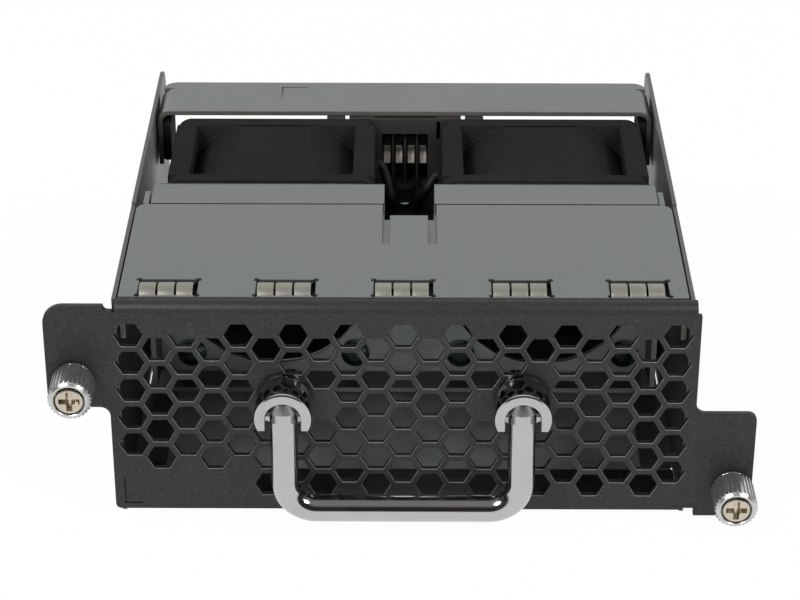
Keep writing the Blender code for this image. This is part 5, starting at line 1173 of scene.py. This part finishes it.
def fan_frame(side):
    x, z = FAN_CENTRE[side]
    half, hole_at = FAN_SIZE / 2, FAN_SIZE / 2 - 4
    frame_shape = Shape()
    square = oblong(x - half, x + half, z - half, z + half, 3.0, 12)
    screw_holes = [circle(x + sx * hole_at, z + sz * hole_at, 2.1, 32) for sx in (-1, 1) for sz in (-1, 1)]
    mouth = circle(x, z, BORE + 0.45, 96)
    frame_shape.sheet(square, "Y", FAN_FRONT, FAN_FRONT + FLANGE, 0.18, [mouth, *screw_holes])
    frame_shape.rims(square, "Y", FAN_REAR - FLANGE, FAN_REAR, 0.18)
    frame_shape.rims(mouth, "Y", FAN_REAR - FLANGE, FAN_REAR, -0.18)
    flange = [inset(square, 0.18), inset(mouth, -0.18)]
    frame_shape.cap(flange, "Y", FAN_REAR - FLANGE)
    frame_shape.cap([*flange, *screw_holes], "Y", FAN_REAR)
    for hole in screw_holes:
        frame_shape.pocket(hole, "Y", FAN_REAR, FAN_REAR - FLANGE + 0.5, 0.1)
    bore_hole = circle(x, z, BORE + 0.5, 96)
    frame_shape.sheet(barrel_outline(x, z), "Y", FAN_FRONT + 2.6, FAN_REAR - 2.6, 0.1, [bore_hole])
    frame_shape.sheet(barrel_outline(x, z, 0.5), "Y", FAN_REAR - 3.6, FAN_REAR - 2.6, 0.3, [bore_hole])
    length = FAN_REAR - FAN_FRONT
    barrel = [(BORE + 0.7, 0.5), (BORE + 0.4, 0.1), (BORE, 0.6), (BORE, length - 0.6),
              (BORE + 0.4, length - 0.1), (BORE + 0.7, length - 0.5), (BORE + 1.0, length - 2.2),
              (BORE + 1.0, length - 3.1), (BORE + 1.0, 3.1), (BORE + 1.0, 2.2), (BORE + 0.7, 0.5)]
    frame_shape.turned([(radius, FAN_FRONT + y) for radius, y in barrel], (x, z), 96)
    near, far = half - 4.4, half - 0.2
    column = Shape().sheet(oblong(near, far, near, far, 0.5), "Y", FAN_FRONT + 2.6, FAN_REAR - 2.6, 0.1)
    frame_shape.take(ring_of(column, 4, 0, (x, 0, z), fan_plastic))
    strut = Shape().sheet(oblong(9.5, BORE + 0.6, -1.2, 1.2, 0.1), "Y",
                          FAN_REAR - 2.1, FAN_REAR - 0.4, 0.35)
    frame_shape.take(ring_of(strut, 4, math.pi / 4, (x, 0, z), fan_plastic))
    frame_shape.sheet(circle(x, z, 10.5, 64), "Y", FAN_REAR - 2.3, FAN_REAR - 0.2, 0.35)
    frame_shape.sheet(circle(x, z, 8.6, 64), "Y", FAN_REAR - 0.9, FAN_REAR - 0.02, 0.2)
    return frame_shape.piece(f"{side}_fan_frame", "tray", [fan_plastic], [f"{side}_fan_housing"], 32)


for side in SIDES:
    fan_frame(side)

# %% Rotors
HUB = 10.5
HUB_LENGTH = flat_box("left_fan_rotor")[1].y - flat_box("left_fan_rotor")[0].y


def blade_shape(front):
    """A cambered blade that thins towards its tip and turns with the radius."""
    blade = Shape()
    chord, loops = 0.85 * HUB_LENGTH, []
    for j in range(9):
        radius = HUB - 0.8 + (BORE - 0.5 - HUB + 0.8) * j / 8
        angle = math.radians(54.0 - 5.0 * (j / 8 - 0.5))
        half = 0.55 - 0.2 * j / 8
        upper, lower = [], []
        for k in range(13):
            along = k / 12 - 0.5
            rise = 1.6 * (1 - 4 * along * along)
            thin = half * math.sqrt(max(0.05, 1 - (2 * along) ** 4))
            upper.append(Vector((along * chord, rise + thin)))
            lower.append(Vector((along * chord, rise - thin)))
        section = [Matrix.Rotation(angle, 2) @ point for point in lower + upper[::-1]]
        start = len(blade.points)
        for u, v in section:
            bend = u / radius
            blade.points.append((radius * math.sin(bend), front + HUB_LENGTH / 2 + v,
                                 radius * math.cos(bend)))
        loops.append(list(range(start, len(blade.points))))
    for first, second in zip(loops, loops[1:]):
        blade.band(first, second)
    for loop in (loops[0], loops[-1]):
        blade.faces.append(tuple(loop))
        blade.looks.append(0)
    return blade


def rotor(side):
    x, z = FAN_CENTRE[side]
    front = flat_box(f"{side}_fan_rotor")[0].y
    rotor_shape = Shape()
    end = front + HUB_LENGTH
    cup = [(1.55, front), (HUB - 1.6, front), (HUB - 0.7, front + 0.18), (HUB - 0.18, front + 0.7),
           (HUB, front + 1.6), (HUB, end - 0.2), (HUB - 0.2, end), (HUB - 0.8, end), (HUB - 1, end - 0.2),
           (HUB - 1, front + 1.5), (HUB - 1.3, front + 1.2), (3.4, front + 1.2), (3.1, front + 1.5),
           (3.1, front + 5.1), (2.9, front + 5.3), (1.75, front + 5.3), (1.55, front + 5.1),
           (1.55, front)]
    rotor_shape.turned(cup, (x, z), 64)
    rotor_shape.take(ring_of(blade_shape(front), 7, 0, (x, 0, z), fan_plastic))
    return rotor_shape.piece(f"{side}_rotor", f"{side}_rotor", [fan_plastic], [f"{side}_fan_rotor"], 40)


for side in SIDES:
    rotor(side)

# %% [markdown]
# A foam frame seals each fan against the partition. Foam is never sharp, so its rims are wide.

# %% Gaskets
for side in SIDES:
    x, z = FAN_CENTRE[side]
    half = FAN_SIZE / 2 - 0.3
    holes = [circle(x + sx * 16, z + sz * 16, 2.1, 24) for sx in (-1, 1) for sz in (-1, 1)]
    gasket_shape = Shape()
    gasket_shape.sheet(oblong(x - half, x + half, z - half, z + half, 3.0), "Y", FAN_FRONT - 1.5,
                       FAN_FRONT - 0.3, 0.3, [circle(x, z, BORE, 64), *holes])
    gasket_shape.piece(f"{side}_foam_gasket", "tray", [foam], [f"{side}_fan_gasket"], 50)

# %% [markdown]
# ## Handle posts
# A post is turned from bar and plated. Its front is slotted for the handle's end, so seen from the
# front it is a letter C turned down. The front face was faced on the lathe after plating's polish was
# laid on the sides, so the face is satin and the sides are mirrors: two finishes on one piece.

# %% Handle posts
POST_RADIUS = 5.05
SLOT_HALF = 3.15
TIP_DROP = 2.45


def c_outline(x, steps=40):
    """The post's slotted section: a ring that is open below, with its two tips cut flat."""
    end = math.acos(TIP_DROP / POST_RADIUS)
    outer = [Vector((x + POST_RADIUS * math.sin(t), POST_Z + POST_RADIUS * math.cos(t)))
             for t in ((math.pi - end) * (2 * k / steps - 1) for k in range(steps + 1))]
    inner = [Vector((x + SLOT_HALF * math.cos(t), PIVOT_Z + SLOT_HALF * math.sin(t)))
             for t in (math.pi * k / 24 for k in range(25))]
    right_tip = Vector((x + SLOT_HALF, POST_Z - TIP_DROP))
    left_tip = Vector((x - SLOT_HALF, POST_Z - TIP_DROP))
    return [*outer, right_tip, *inner, left_tip]


def post(side):
    x = SIDES[side] * POST_X
    ring = c_outline(x)
    front = flat_box(f"{side}_handle_post")[0].y
    post_shape = Shape()
    post_shape.sheet(ring, "Y", front, -1.2, 0.38, (), (1, 0, 0))
    post_shape.sheet(circle(x, POST_Z, POST_RADIUS, 80), "Y", -1.6, -0.3, 0.15)
    stud_end = flat_box(f"{side}_handle_post")[1].y
    thread = [(1.9, -0.5)] + [(1.9 - 0.18 * (k % 2), 0.2 + 0.25 * k) for k in range(15)]
    post_shape.turned([*thread, (1.6, stud_end - 0.3), (1.3, stud_end), (0, stud_end)], (x, POST_Z), 32)
    post_shape.turned([(1.9, -0.5), (0, -0.5)], (x, POST_Z), 32)
    return post_shape.piece(f"{side}_slotted_post", "tray", [chrome, satin_chrome],
                            [f"{side}_handle_post"], 30)


for side in SIDES:
    post(side)

# %% Pivot pins
for side in SIDES:
    x = SIDES[side] * POST_X
    pin_shape = Shape()
    reach = 5.02
    pin_shape.tube([(x - reach, -4.6, PIVOT_Z), (x - reach + 0.06, -4.6, PIVOT_Z),
                    (x - reach + 0.16, -4.6, PIVOT_Z), (x + reach - 0.16, -4.6, PIVOT_Z),
                    (x + reach - 0.06, -4.6, PIVOT_Z), (x + reach, -4.6, PIVOT_Z)],
                   [0.55, 0.75, 0.9, 0.9, 0.75, 0.55], 32)
    pin_shape.piece(f"{side}_hinge_pin", "tray", [pin_steel], [f"{side}_pivot_pin"], 40)

# %% [markdown]
# ## Pull handle
# The handle is one bar bent twice, with both ends cut square and chamfered by hand. A tube that follows
# a path gives the bar, and the radii of its last rings give the chamfer.

# %% Pull handle
BAIL_RADIUS, BAIL_BEND, BAIL_BAR_Z = 2.45, 5.6, 3.3


def bail_shape():
    bail = Shape()
    bend = [(-POST_X + BAIL_BEND * (1 - math.cos(t)), BAIL_BAR_Z + BAIL_BEND * (1 - math.sin(t)))
            for t in (math.pi / 2 * k / 16 for k in range(17))]
    top = PIVOT_Z + 2.0
    ends = [(1.42, 0.0), (1.55, 0.05), (2.34, 1.5), (2.42, 1.72), (BAIL_RADIUS, 2.0)]
    left = [(-POST_X, top - drop) for _, drop in ends]
    line = left + bend
    line += [(-x, z) for x, z in reversed(line)]
    radii = [radius for radius, _ in ends] + [BAIL_RADIUS] * len(bend)
    radii += radii[::-1]
    bail.tube([(x, -4.6, z) for x, z in line], radii, 48)
    tip_bands = 3 * 48
    bail.looks[:tip_bands] = [1] * tip_bands
    bail.looks[-2 - tip_bands:] = [1] * (tip_bands + 2)
    return bail


bail_shape().piece("pull_handle", "handle", [chrome, dressed_end], ["handle_bail"], 28)

# %% [markdown]
# ## Captive thumbscrews
# Each knob is a turned cup with straight knurling: thirty small ridges, grown by the ring tree. Its front
# has a chamfer through the knurls, a pale flat ring and a groove round the screw's head. The screw has a
# cross recess, and its shank behind the ear is threaded.

# %% Knob
KNOB_RADIUS = 3.85


def knob(side):
    x, z = KNOB_AT[side]
    front, back = KNOB_FRONT, KNOB_BACK
    body = [(2.75, front + 1.0), (2.75, front + 0.12), (2.87, front), (3.18, front), (3.6, front + 0.5),
            (3.6, back - 0.2), (3.5, back - 0.05), (3.4, back), (3.15, back), (2.95, back - 0.2),
            (2.95, front + 3.6), (2.0, front + 3.6), (2.0, front + 1.9), (2.75, front + 1.9),
            (2.75, front + 1.0)]
    knob_shape = Shape()
    knob_shape.turned(body, (x, z), 88)
    ridge = Shape()
    width = math.pi * KNOB_RADIUS / 30
    loops = []
    for y, radius in ((front + 0.12, 3.2), (front + 0.62, KNOB_RADIUS - 0.02), (front + 0.75, KNOB_RADIUS),
                      (back - 0.25, KNOB_RADIUS), (back - 0.15, KNOB_RADIUS - 0.06), (back - 0.1, 3.5)):
        start = len(ridge.points)
        for u, v in ((-width * 0.62, 3.1), (width * 0.62, 3.1), (width * 0.22, radius),
                     (-width * 0.22, radius)):
            ridge.points.append((u, y, v))
        loops.append(list(range(start, start + 4)))
    for first, second in zip(loops, loops[1:]):
        ridge.band(first, second)
    ridge.faces += [tuple(loops[0]), tuple(loops[-1])]
    ridge.looks += [0, 0]
    knob_shape.take(ring_of(ridge, 30, 0, (x, 0, z), knob_metal))
    return knob_shape.piece(f"{side}_knurled_knob", f"{side}_thumbscrew", [knob_metal],
                            [f"{side}_thumbscrew_knob"], 25)


for side in SIDES:
    knob(side)

# %% Screws of the knobs
def cross(x, z, reach, half, corner=0.12):
    """The outline of a cross recess."""
    return rounded([
        (x - half, z - reach, corner), (x + half, z - reach, corner), (x + half, z - half, corner),
        (x + reach, z - half, corner), (x + reach, z + half, corner), (x + half, z + half, corner),
        (x + half, z + reach, corner), (x - half, z + reach, corner), (x - half, z + half, corner),
        (x - reach, z + half, corner), (x - reach, z - half, corner), (x - half, z - half, corner)], 4)


def threaded(shape, centre, radius, start, end, pitch=0.5, depth=0.16, sides=24):
    """A screw thread from start to end along Y: the radius rises and falls along a helix."""
    x, z = centre
    rings, steps = [], int((end - start) / pitch * 6)
    for k in range(steps + 1):
        y = start + (end - start) * k / steps
        ring = len(shape.points)
        for j in range(sides):
            turn = j / sides
            phase = ((y - start) / pitch - turn) % 1.0
            near = radius - depth * abs(2 * phase - 1)
            near -= 0.35 * max(0.0, (y - end + 0.5) / 0.5)
            shape.points.append((x + near * math.cos(2 * math.pi * turn), y,
                                 z + near * math.sin(2 * math.pi * turn)))
        rings.append(list(range(ring, ring + sides)))
    for first, second in zip(rings, rings[1:]):
        shape.band(first, second)
    for ring in (rings[0], rings[-1]):
        shape.faces.append(tuple(ring))
        shape.looks.append(0)


def knob_screw(side):
    x, z = KNOB_AT[side]
    screw_shape = Shape()
    head = circle(x, z, 2.45, 64)
    recess = cross(x, z, 1.85, 0.52)
    screw_shape.rims(head, "Y", KNOB_FRONT, KNOB_FRONT + 1.6, 0.28)
    screw_shape.cap([inset(head, 0.28), recess], "Y", KNOB_FRONT)
    screw_shape.cap([inset(head, 0.28)], "Y", KNOB_FRONT + 1.6)
    screw_shape.pocket(recess, "Y", KNOB_FRONT, KNOB_FRONT + 1.2, 0.32)
    bolt_end = flat_box(f"{side}_thumbscrew_bolt")[1].y
    screw_shape.turned([(0, KNOB_FRONT + 1.4), (1.48, KNOB_FRONT + 1.4), (1.48, 0.6), (0, 0.6)], (x, z), 32)
    threaded(screw_shape, (x, z), 1.5, 0.5, bolt_end)
    return screw_shape.piece(f"{side}_cross_head_screw", f"{side}_thumbscrew", [screw_metal],
                             [f"{side}_thumbscrew_bolt"], 30)


for side in SIDES:
    knob_screw(side)

# %% Ferrules
for side in SIDES:
    x, z = KNOB_AT[side]
    rear = flat_box(f"{side}_thumbscrew_ferrule")[1].y
    front = flat_box(f"{side}_thumbscrew_ferrule")[0].y
    ferrule_shape = Shape()
    ferrule_shape.turned([
        (1.8, rear), (2.45, rear), (2.55, rear - 0.1), (2.55, -0.3), (3.2, -0.3), (3.3, -0.4), (3.3, -0.7),
        (3.2, -0.8), (2.6, -0.8), (2.5, -0.9), (2.5, front + 0.2), (2.3, front), (1.85, front),
        (1.8, front + 0.1), (1.8, rear)], (x, z), 48)
    ferrule_shape.piece(f"{side}_turned_ferrule", "tray", [knob_metal], [f"{side}_thumbscrew_ferrule"], 30)

# %% [markdown]
# ## Plug between the fans
# Four bent contacts stand in the plug's channels. Each is a strip of spring steel, curled forward at its
# tip. One contact is drawn as a bent strip with rolled edges, and the row tree sets four of them.

# %% Contacts
CONTACT_PITCH, PLUG_X = 2.42, 0.1
PLUG_FRONT = flat_box("connector_housing")[0].y
contact_low, contact_high = flat_box("connector_contact_1")


def bent_strip(line, width, thickness):
    """A strip that follows a line (y, z), with four rolled edges, as a closed band."""
    strip = Shape()
    half, roll, rings = width / 2, thickness * 0.3, []
    line = [Vector(point) for point in line]
    for k, point in enumerate(line):
        along = (line[min(k + 1, len(line) - 1)] - line[max(k - 1, 0)]).normalized()
        across = Vector((-along.y, along.x)) * thickness
        start = len(strip.points)
        for x, away in ((-half + roll, 0), (half - roll, 0), (half, 0.3), (half, 0.7), (half - roll, 1),
                        (-half + roll, 1), (-half, 0.7), (-half, 0.3)):
            strip.points.append((x, *(point + across * away)))
        rings.append(list(range(start, start + 8)))
    for first, second in zip(rings, rings[1:]):
        strip.band(first, second)
    strip.faces += [tuple(rings[0]), tuple(rings[-1])]
    strip.looks += [0, 0]
    return strip


tail_z = contact_high.z - 0.7
face_y, tip_z = contact_low.y + 0.42, contact_low.z - 0.25
line = [(contact_high.y, tail_z), (face_y + 3.6, tail_z), (face_y + 2.9, tail_z - 0.15),
        (face_y + 2.5, tail_z - 0.55), (face_y + 2.4, tail_z - 1.2), (face_y + 2.3, tip_z + 2.9),
        (face_y + 2.0, tip_z + 2.1), (face_y + 1.5, tip_z + 1.35), (face_y + 0.85, tip_z + 0.6),
        (face_y + 0.1, tip_z)]
one = bent_strip(line, 1.55, 0.4)
mesh = bpy.data.meshes.new("one")
mesh.from_pydata([Vector(point) * MM for point in one.points], [], one.faces)
row = grown(mesh, row_tree, {"Count": 4, "Step": (CONTACT_PITCH * MM, 0, 0),
                             "Start": ((PLUG_X - 1.5 * CONTACT_PITCH) * MM, 0, 0), "Material": spring_steel})
row.transform(Matrix.Translation(ORIGIN))
contact_shape = Shape()
contact_shape.take(row)
# Painted shade: faces above this height take the dark contact finish, so only the lower curls stay bright.
root = at(0, 0, tip_z + 2.9).z
contact_shape.looks = [int(face.center.z > root) for face in row.polygons]
contact_shape.piece("plug_contacts", "tray", [contact_metal, contact_shade_metal], [f"connector_contact_{k}" for k in range(1, 5)],
                    40)

# %% [markdown]
# The plug's moulding has a thin wing on each side, above the fans. A rib of the same dark plastic closes the
# gap to the right fan: a painted shade, dark where that gap lies in shade.

# %% Plug wings
plug_low, plug_high = flat_box("connector_housing")
BAR_LOW_FACE = BODY_TOP - 1
wing_top = BAR_LOW_FACE - 0.03
wing_shape = Shape()
for sign in SIDES.values():
    wing = [(6.0, wing_top - 4.5, 0.3), (15.7, wing_top - 4.5, 0.5), (15.7, wing_top, 0.3),
            (12.0, wing_top, 0.1), (12.0, wing_top - 1.35, 0.2), (11.2, wing_top - 1.35, 0.2),
            (11.2, wing_top, 0.1), (6.0, wing_top, 0)]
    wing_shape.sheet(rounded([(PLUG_X + sign * u, v, radius) for u, v, radius in wing], 4), "Y",
                     plug_low.y + 0.05, BAR_FRONT + 0.4, 0.12)
# Painted shade: this rib only closes the gap to the right fan with dark plastic.
wing_shape.sheet(oblong(plug_low.y + 0.05, plug_high.y - 1.5, plug_low.z + 0.1, plug_high.z - 0.1, 0.3), "X",
                 plug_high.x - 0.1, plug_high.x + 0.85, 0.12)
wing_shape.piece("plug_wings", "tray", [plug_plastic], smooth=40)

# %% [markdown]
# ## Leads
# Each fan's lead runs in a ribbed sleeve down to the shelf. The tube follows the same smooth route as
# its solid, and every few rings a rib swells it.

# %% Leads
def smooth_route(route, spacing):
    """Points along a Catmull-Rom curve through the route's own points."""
    route = [Vector(point) for point in route]
    ends = [2 * route[0] - route[1], *route, 2 * route[-1] - route[-2]]
    points = []
    for a, b, c, d in zip(ends, ends[1:], ends[2:], ends[3:]):
        steps = max(1, math.ceil((c - b).length / spacing))
        for k in range(steps):
            t = k / steps
            points.append(0.5 * (2 * b + (c - a) * t + (2 * a - 5 * b + 4 * c - d) * t ** 2
                                 + (3 * b - a - 3 * c + d) * t ** 3))
    points.append(route[-1])
    return points


SHELF_TOP = flat_box("connector_bracket")[1].z
for side, sign in SIDES.items():
    exit_x = FAN_CENTRE[side][0] - sign * (FAN_SIZE / 2 + 0.3)
    exit_y = PLUG_FRONT - {"left": 8.0, "right": 13.0}[side]
    exit_z = BODY_TOP - 7.55
    rest_x, rest_z = PLUG_X + sign * 2.6, SHELF_TOP + 1.3
    screw_y = PLUG_FRONT - 6.2
    route = smooth_route([
        (exit_x, exit_y, exit_z), (exit_x - sign * 0.7, exit_y - 0.1, exit_z - 0.1),
        ((exit_x + rest_x) / 2 - sign * 0.3, exit_y - 1.0, exit_z - 2.2),
        (rest_x, screw_y - 5.0, rest_z + 2.6), (rest_x, screw_y - 1.5, rest_z),
        (rest_x, screw_y + 1.5, rest_z), (rest_x, PLUG_FRONT - 0.3, rest_z)], 0.16)
    radii = [0.96 + 0.04 * math.cos(2 * math.pi * k / 3) for k in range(len(route))]
    lead_shape = Shape()
    lead_shape.tube(route, radii, 24)
    lead_shape.piece(f"{side}_sleeved_lead", "tray", [lead_sleeve], [f"{side}_fan_lead"], 60)

# %% Shelf screw
SCREW_Y = PLUG_FRONT - 6.2
head = circle(PLUG_X, SCREW_Y, 1.4, 48)
recess = cross(PLUG_X, SCREW_Y, 0.95, 0.25, 0.08)
low, high = flat_box("shelf_screw")
screw_shape = Shape()
screw_shape.rims(head, "Z", high.z - 1.0, high.z, 0.3)
screw_shape.cap([inset(head, 0.3)], "Z", high.z - 1.0)
screw_shape.cap([inset(head, 0.3), recess], "Z", high.z)
screw_shape.pocket(recess, "Z", high.z, high.z - 0.6, 0.08)
screw_shape.tube([(PLUG_X, SCREW_Y, high.z - 0.8), (PLUG_X, SCREW_Y, low.z + 0.2), (PLUG_X, SCREW_Y, low.z)],
                 [0.78, 0.78, 0.6], 24)
screw_shape.piece("shelf_cross_screw", "tray", [blued_screw], ["shelf_screw"], 30)

# %% [markdown]
# A black strip, shaped like a rubber trim, is pressed over the shelf's right edge and follows the fold down
# to the floor. It is painted shade: it fills the gap to the right fan with black, where the tray lies in
# shade.

# %% Shelf edge trim
shelf_low, shelf_high = flat_box("connector_bracket")
fan_side = FAN_CENTRE["right"][0] - FAN_SIZE / 2
shelf_front = PLUG_FRONT - 13.0
trim_line = rounded([
    (shelf_front - 0.45, 1.4, 0.2), (shelf_front - 0.45, SHELF_TOP + 0.45, 1.9),
    (shelf_high.y - 0.5, SHELF_TOP + 0.45, 0.2), (shelf_high.y - 0.5, SHELF_TOP - 1.45, 0.2),
    (shelf_front + 1.45, SHELF_TOP - 1.45, 0.6), (shelf_front + 1.45, 1.4, 0.2)], 8)
trim_shape = Shape()
trim_shape.sheet(trim_line, "X", shelf_high.x - 0.05, fan_side - 0.35, 0.4)
trim_shape.piece("shelf_edge_trim", "tray", [shade_strip_rubber], smooth=45)

# %% [markdown]
# ## Fan screws
# Four pan-head screws hold each fan through the gasket. One screw is turned, and the ring tree sets the
# four of them on the diagonals.

# %% Fan screws
HOLE_REACH = (FAN_SIZE / 2 - 4) * math.sqrt(2)
for side in SIDES:
    x, z = FAN_CENTRE[side]
    low = flat_box(f"{side}_fan_screw_top_left")[0]
    screw_end = FAN_FRONT + FLANGE - 0.2
    one = Shape()
    one.turned([(0, low.y), (1.2, low.y), (2.1, low.y + 0.25), (2.7, low.y + 0.75), (2.9, low.y + 1.3),
                (2.8, low.y + 1.6), (1.8, low.y + 1.6), (1.8, screw_end - 0.3), (1.5, screw_end),
                (0, screw_end)],
               (HOLE_REACH, 0), 32)
    screws = Shape()
    screws.take(ring_of(one, 4, math.pi / 4, (x, 0, z), blued_screw))
    screws.piece(f"{side}_fan_screws", "tray", [blued_screw],
                 [f"{side}_fan_screw_{row}_{column}" for row in ("top", "bottom")
                  for column in ("left", "right")], 30)

# %% [markdown]
# ## Floor, lamps and background
# The photograph has a plain white ground. The floor is pale and shows white to the camera except where
# the object's shadow falls. The world has three faces: white to the camera, a soft grey light for the
# object, and for mirrors a white backdrop behind the tray with a darker room in front and overhead.
# Chrome needs that dark part: without it a mirror in a white room is only a white blob.

# %% Lamps
def lamp(name, kind_size, power, place, target):
    data = bpy.data.lights.new(name, "AREA")
    data.shape = "RECTANGLE"
    data.size, data.size_y = kind_size
    data.energy = power
    obj = bpy.data.objects.new(name, data)
    obj.location = place
    obj.rotation_euler = (Vector(target) - Vector(place)).to_track_quat("-Z", "Y").to_euler()
    bpy.context.scene.collection.objects.link(obj)
    return obj


lamp("key_softbox", (0.35, 0.30), 4.2, (-0.45, -0.45, 0.70), (0, 0, 0.02))
lamp("fill_softbox", (0.35, 0.30), 2.6, (0.55, -0.35, 0.60), (0, 0, 0.02))
front_light = lamp("front_softbox", (0.7, 0.16), 2.2, (0.0, -0.9, 0.12), (0, 0, 0.02))
front_light.visible_glossy = False
print("three lamps")

# %% World
world = bpy.data.worlds.new("studio")
bpy.context.scene.world = world
world.use_nodes = True
world.node_tree.nodes.clear()
sky = Tree(world.node_tree)
rays = sky.node("ShaderNodeLightPath")
toward = sky.node("ShaderNodeTexCoord").out("Generated")
axes = sky.node("ShaderNodeSeparateXYZ", {}, {"Vector": toward})
behind = sky.between(axes.out("Y"), 0.10, 0.45)
below = sky.between(axes.out("Z"), 0.10, -0.02)
backdrop = behind.biggest(below)
overhead = sky.between(axes.out("Z"), 0.55, 0.85)
room = sky.mixed(overhead, (0.030, 0.028, 0.026), (0.30, 0.28, 0.26))
mirrored = sky.mixed(backdrop, room, (1, 1, 1))
is_mirror = rays.out("Is Glossy Ray").biggest(rays.out("Is Transmission Ray"))
seen_colour = sky.mixed(rays.out("Is Camera Ray"), mirrored, (1, 1, 1))
soft = sky.node("ShaderNodeBackground", {}, {"Color": (1, 1, 1), "Strength": 0.5})
seen = sky.node("ShaderNodeBackground", {}, {"Color": seen_colour, "Strength": 1.0})
shown = is_mirror.biggest(rays.out("Is Camera Ray"))
both = sky.node("ShaderNodeMixShader", {}, {0: shown, 1: soft, 2: seen})
sky.node("ShaderNodeOutputWorld", {}, {"Surface": both})
print("world ready")

# %% Floor
floor_material = bpy.data.materials.new("pale_floor")
floor_material.use_nodes = True
floor_material.node_tree.nodes.clear()
ground = Tree(floor_material.node_tree)
floor_rays = ground.node("ShaderNodeLightPath")
floor_seen = floor_rays.out("Is Camera Ray").biggest(floor_rays.out("Is Glossy Ray"))
floor_seen = floor_seen.biggest(floor_rays.out("Is Transmission Ray"))
matte = ground.node("ShaderNodeBsdfDiffuse", {}, {"Color": (0.82, 0.82, 0.82)})
glow = ground.node("ShaderNodeEmission", {}, {"Color": (1, 1, 1), "Strength": 1.0})
pale = ground.node("ShaderNodeMixShader", {}, {0: floor_seen * 0.97, 1: matte, 2: glow})
ground.node("ShaderNodeOutputMaterial", {}, {"Surface": pale})

floor_mesh = bpy.data.meshes.new("floor")
reach = 2.0
floor_mesh.from_pydata([(-reach, -reach, 0), (reach, -reach, 0), (reach, reach, 0), (-reach, reach, 0)],
                       [], [(0, 1, 2, 3)])
floor = bpy.data.objects.new("floor", floor_mesh)
floor_mesh.materials.append(floor_material)
floor.location = (0, 0, -0.0002)
bpy.context.scene.collection.objects.link(floor)
bpy.context.scene.view_settings.view_transform = "Standard"
print("studio ready")
